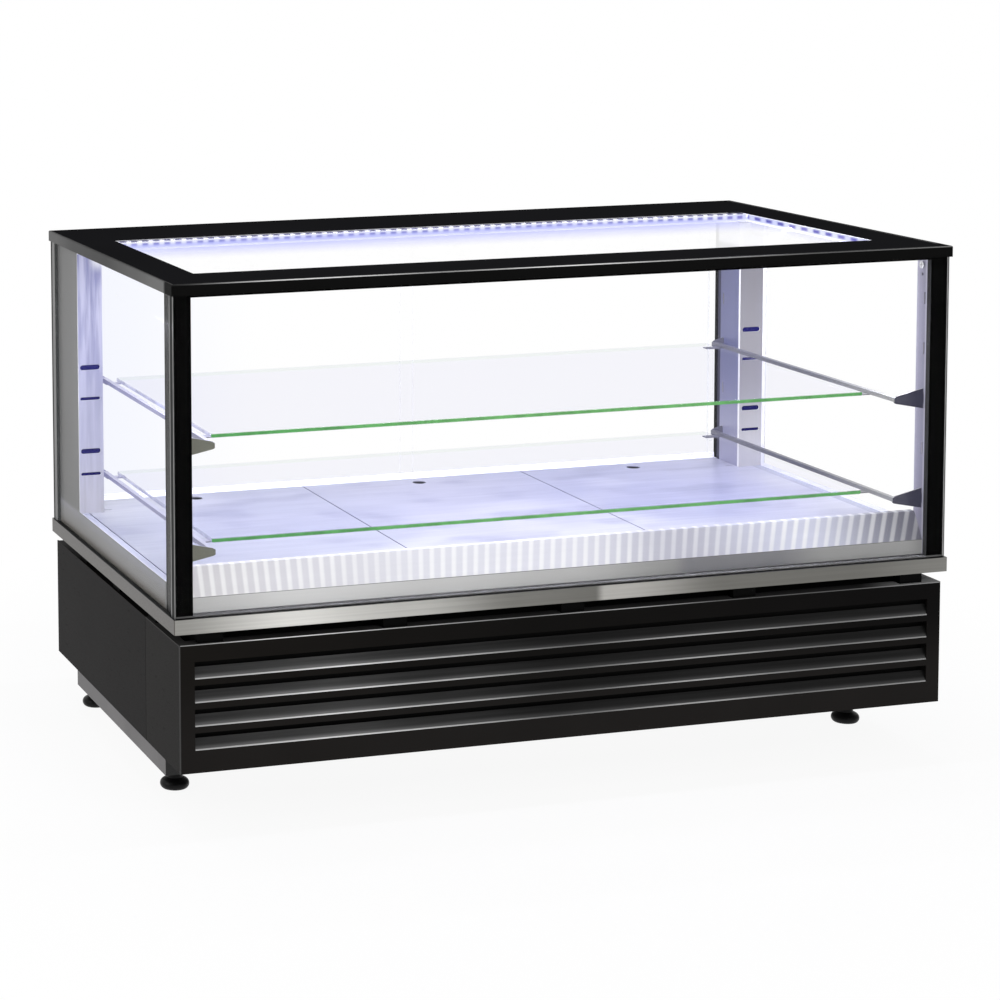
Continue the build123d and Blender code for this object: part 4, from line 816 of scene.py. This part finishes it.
groove_left, groove_right = PROFILE_LOW.x + GROOVE_DEPTH, PROFILE_HIGH.x - GROOVE_DEPTH
groove_front, groove_back = PROFILE_LOW.y + GROOVE_DEPTH, PROFILE_HIGH.y - GROOVE_DEPTH
long_left, long_right = groove_left + 3 * MM, groove_right - 3 * MM
short_front, short_back = groove_front + 2 * MM, groove_back - 2 * MM

for strip_name, strip_y, inward_y in (("led_back", groove_back, -1), ("led_front", groove_front, 1)):
    ends = ((long_left, strip_y, LED_Z), (long_right, strip_y, LED_Z))
    light_strip(strip_name, *ends, (0, inward_y, 0), X, LED_PITCH, 3.4 * MM)
for strip_name, strip_x, inward_x in (("led_left", groove_left, 1), ("led_right", groove_right, -1)):
    ends = ((strip_x, short_front, LED_Z), (strip_x, short_back, LED_Z))
    light_strip(strip_name, *ends, (inward_x, 0, 0), Y, SIDE_LED_PITCH, 7.0 * MM)

# clear sheets that hang below the profiles and carry the painted glow of the strips
glow_sheets = bmesh.new()
glow_sheet_y = groove_back - 0.5 * MM
glow_sheet_end = groove_right - 14 * MM
rounded_block(
    glow_sheets, (-glow_sheet_end, glow_sheet_y, GLOW_SHEET_BOTTOM), (glow_sheet_end, glow_sheet_y + 1.5 * MM, GLOW_SHEET_TOP), 0.4 * MM
)
for side in (-1, 1):
    glow_sheet_x = side * (groove_right - 0.5 * MM)
    glow_sheet_back = (glow_sheet_x + side * 1.5 * MM, groove_back - 11 * MM, GLOW_SHEET_TOP)
    rounded_block(glow_sheets, *span((glow_sheet_x, -0.10, GLOW_SHEET_BOTTOM), glow_sheet_back), 0.4 * MM)
piece("led_glow_sheets", glow_sheets, glow_sheet_material())


def side_seal(side):
    """A rubber bead along the foot of the side glass, on the band."""
    glass_x, band_top = GLASS_HIGH.x, GLASS_LOW.z
    end_y = GLASS_HIGH.y - 0.2 * MM
    seal = bmesh.new()
    outer = (side * (glass_x + 1.4 * MM), -end_y, band_top + 0.02 * MM)
    inner = (side * (glass_x + 0.05 * MM), end_y, band_top + 1.2 * MM)
    rounded_block(seal, *span(outer, inner), 0.5 * MM)
    return seal


def closing_strip(side):
    """A thin steel strip that closes the gap between the deck plates and the side glass."""
    closing = bmesh.new()
    inner = (side * (DECK_HIGH.x + 0.7 * MM), DECK_LOW.y + 2 * MM, DECK_LOW.z - 0.3 * MM)
    outer = (side * (UPRIGHT_HIGH.x - 0.1 * MM), UPRIGHT_LOW.y, DECK_HIGH.z - 0.4 * MM)
    rounded_block(closing, *span(inner, outer), 0.3 * MM)
    return closing


def door_brush(side):
    """A black brush strip between the rear upright and the doors."""
    brush = bmesh.new()
    foot = (side * 552.0 * MM, UPRIGHT_HIGH.y + 0.3 * MM, TRACK_HIGH.z + 0.2 * MM)
    top = (side * 549.6 * MM, TRACK_LOW.y - 0.8 * MM, UPRIGHT_HIGH.z - 0.5 * MM)
    rounded_block(brush, *span(foot, top), 0.6 * MM)
    return brush


closing_steel = coated("closing_steel", rgb(172, 174, 188), 0.4, specular=0.1)
seal_rubber = moulded("seal_rubber", rgb(26, 26, 27), 0.6, specular=0.1)
for side, side_name in ((-1, "left"), (1, "right")):
    piece(f"side_seal_{side_name}", side_seal(side), seal_rubber)
    piece(f"deck_closing_{side_name}", closing_strip(side), closing_steel)
    piece(f"door_brush_{side_name}", door_brush(side), seal_rubber)

# dark plates behind the hook slots that paint the shade inside them: two on each rear upright, one on
# each front one
PLATE = 1.2 * MM
PLATE_TOP = UPRIGHT_HIGH.z - 4 * MM
slot_shade_plates = bmesh.new()
for side in (-1, 1):
    for near, far in (
        ((side * 0.5520, 0.1980, 0.340), (side * 0.5885, 0.1980 + PLATE, PLATE_TOP)),
        ((side * 0.5535, 0.2000, 0.340), (side * (0.5535 + PLATE), 0.2620, PLATE_TOP)),
        ((side * 0.5812, -0.2965, 0.345), (side * (0.5812 + PLATE), -0.2740, PLATE_TOP)),
    ):
        rounded_block(slot_shade_plates, *span(near, far), 0.3 * MM)
slot_shade_coat = coated("slot_shade_coat", rgb(27, 26, 86), 0.5, specular=0.1)
piece("upright_slot_shade_plates", slot_shade_plates, slot_shade_coat)


def mesh_material():
    """Fine black filter mesh."""
    s = Shader("filter_mesh")
    weave = s.product(s.wave(s.axes[X], 1.6 * MM), s.wave(s.axes[Z], 1.6 * MM))
    dust = s.ramp(s.noise(9.0, 4.0), 0.4, 0.7)
    colour = s.mix(s.product(weave, s.ramp(dust, 0, 1, 0.4, 0.8)), grey(7), rgb(24, 24, 23))
    return s.finish(s.principled(colour, 0.8, 0.0, s.bump(weave, 0.3, 0.3 * MM), 0.05))


# the filter hangs behind the louvres, clear of the fascia's edges; its black also paints the shade
# inside the base
intake = bmesh.new()
rounded_block(
    intake,
    FASCIA_LOW + Vector((19.5 * MM, 17 * MM, 2 * MM)),
    Vector((FASCIA_HIGH.x - 19.5 * MM, FASCIA_LOW.y + 18.5 * MM, FASCIA_HIGH.z - 2 * MM)),
    0.5 * MM,
)
piece("intake_filter", intake, mesh_material())


# ---------------------------------------------------------------- studio
def floor_material():
    """Pale paper that takes a faint shadow near the case and is plain white further out."""
    s = Shader("studio_floor")
    x, y, _ = s.axes
    distance = s.math("SQRT", s.math("ADD", s.product(x, x), s.product(y, y)))
    paper = s.ramp(s.noise(3.0, 3.0), 0.3, 0.7, 0.93, 0.97)
    shade = s.node("ShaderNodeCombineColor")
    for socket in shade.inputs[:3]:
        s.put(socket, paper)
    diffuse = s.principled(shade.outputs[0], 0.9, 0.0, None, 0.0)
    plain = s.emission(WHITE, 1.0)
    return s.finish(s.blend(s.ramp(distance, 0.6, 1.3, 0.92, 1.0), diffuse, plain))


bpy.ops.mesh.primitive_plane_add(size=60.0, location=(0, 0, 0))
floor = bpy.context.object
floor.name = "studio_floor"
floor.data.materials.append(floor_material())

world = bpy.data.worlds.new("studio_world")
bpy.context.scene.world = world
world.use_nodes = True
sky = world.node_tree
sky.nodes.clear()


def sky_node(kind, **settings):
    made = sky.nodes.new(kind)
    for key, value in settings.items():
        setattr(made, key, value)
    return made


# the camera sees plain white; the case is lit by a sky that is brightest behind it
direction = sky_node("ShaderNodeTexCoord")
toward = sky_node("ShaderNodeVectorMath", operation="DOT_PRODUCT")
sky.links.new(direction.outputs["Generated"], toward.inputs[0])
toward.inputs[1].default_value = Vector((-0.35, 0.93, 0.1)).normalized()
back_light = sky_node("ShaderNodeMapRange", interpolation_type="SMOOTHSTEP")
sky.links.new(toward.outputs["Value"], back_light.inputs[0])
for socket, number in zip(back_light.inputs[1:5], (-0.4, 0.9, 0.30, 0.95)):
    socket.default_value = number
rays = sky_node("ShaderNodeLightPath")
studio = sky_node("ShaderNodeBackground")
studio.inputs[0].default_value = WHITE
sky.links.new(back_light.outputs[0], studio.inputs[1])
backdrop = sky_node("ShaderNodeBackground")
backdrop.inputs[0].default_value = WHITE
backdrop.inputs[1].default_value = 1.0
seen = sky_node("ShaderNodeMixShader")
sky.links.new(rays.outputs["Is Camera Ray"], seen.inputs[0])
sky.links.new(studio.outputs[0], seen.inputs[1])
sky.links.new(backdrop.outputs[0], seen.inputs[2])
sky_output = sky_node("ShaderNodeOutputWorld")
sky.links.new(seen.outputs[0], sky_output.inputs[0])


def area_light(name, place, target, size, power, colour=(1, 1, 1)):
    """A rectangular lamp at a place that looks at a target."""
    data = bpy.data.lights.new(name, "AREA")
    data.shape = "RECTANGLE"
    data.size, data.size_y = size
    data.energy = power
    data.color = colour
    lamp = bpy.data.objects.new(name, data)
    lamp.location = place
    aim = Vector(target) - Vector(place)
    lamp.rotation_mode = "QUATERNION"
    lamp.rotation_quaternion = aim.to_track_quat("-Z", "Y")
    lamp.visible_camera = False
    bpy.context.scene.collection.objects.link(lamp)


COLD = (0.84, 0.86, 1.0)
area_light("key_softbox", (0.9, -4.2, 2.6), (0.1, 0, 0.3), (2.2, 2.2), 60)
area_light("fill_softbox", (-3.6, -0.6, 1.8), (0, 0, 0.35), (2.0, 2.0), 20)
area_light("back_strip_glow", (0, 0.19, 0.736), (0, -0.05, 0.3), (1.0, 0.02), 3, COLD)
area_light("front_strip_glow", (0, -0.255, 0.736), (0, 0.0, 0.3), (1.0, 0.02), 3, COLD)
area_light("left_strip_glow", (-0.55, -0.03, 0.736), (-0.3, -0.03, 0.3), (0.02, 0.4), 1.5, COLD)
area_light("right_strip_glow", (0.55, -0.03, 0.736), (0.3, -0.03, 0.3), (0.02, 0.4), 1.5, COLD)

# ---------------------------------------------------------------- camera
CAMERA_PLACE = Vector((-1.6733, -3.7383, 1.2748))
YAW, PITCH, ROLL = (math.radians(a) for a in (14.16, 5.326, -0.79))
LENS = 95.70
SHIFT = {"shift_x": 0.482, "shift_y": -0.3448}
SHIFT_REACH = 0.02

forward = Vector(
    (math.sin(YAW) * math.cos(PITCH), math.cos(YAW) * math.cos(PITCH), -math.sin(PITCH))
)
sideways = Vector((math.cos(YAW), -math.sin(YAW), 0))
upward = sideways.cross(forward)
right = sideways * math.cos(ROLL) + upward * math.sin(ROLL)
above = upward * math.cos(ROLL) - sideways * math.sin(ROLL)

camera_data = bpy.data.cameras.new("camera")
camera_data.lens = LENS
camera_data.sensor_width = 36.0
camera = bpy.data.objects.new("camera", camera_data)
bpy.context.scene.collection.objects.link(camera)
turn = Matrix((right, above, -forward)).transposed()
camera.matrix_world = Matrix.Translation(CAMERA_PLACE) @ turn.to_4x4()
camera_data.clip_start, camera_data.clip_end = 0.1, 200.0
bpy.context.scene.camera = camera

# The lens is shifted only at this place, so that any other view looks straight at the case.
for setting, amount in SHIFT.items():
    curve = camera_data.driver_add(setting)
    curve.driver.type = "SUM"
    camera_x = curve.driver.variables.new()
    camera_x.type = "TRANSFORMS"
    camera_x.targets[0].id = camera
    camera_x.targets[0].transform_type = "LOC_X"
    camera_x.targets[0].transform_space = "WORLD_SPACE"
    for modifier in list(curve.modifiers):
        curve.modifiers.remove(modifier)
    for offset, value in ((-SHIFT_REACH, 0.0), (0.0, amount), (SHIFT_REACH, 0.0)):
        key = curve.keyframe_points.insert(CAMERA_PLACE.x + offset, value)
        key.interpolation = "LINEAR"

bpy.context.scene.view_settings.view_transform = "Standard"
bpy.context.scene.cycles.transparent_max_bounces = 48
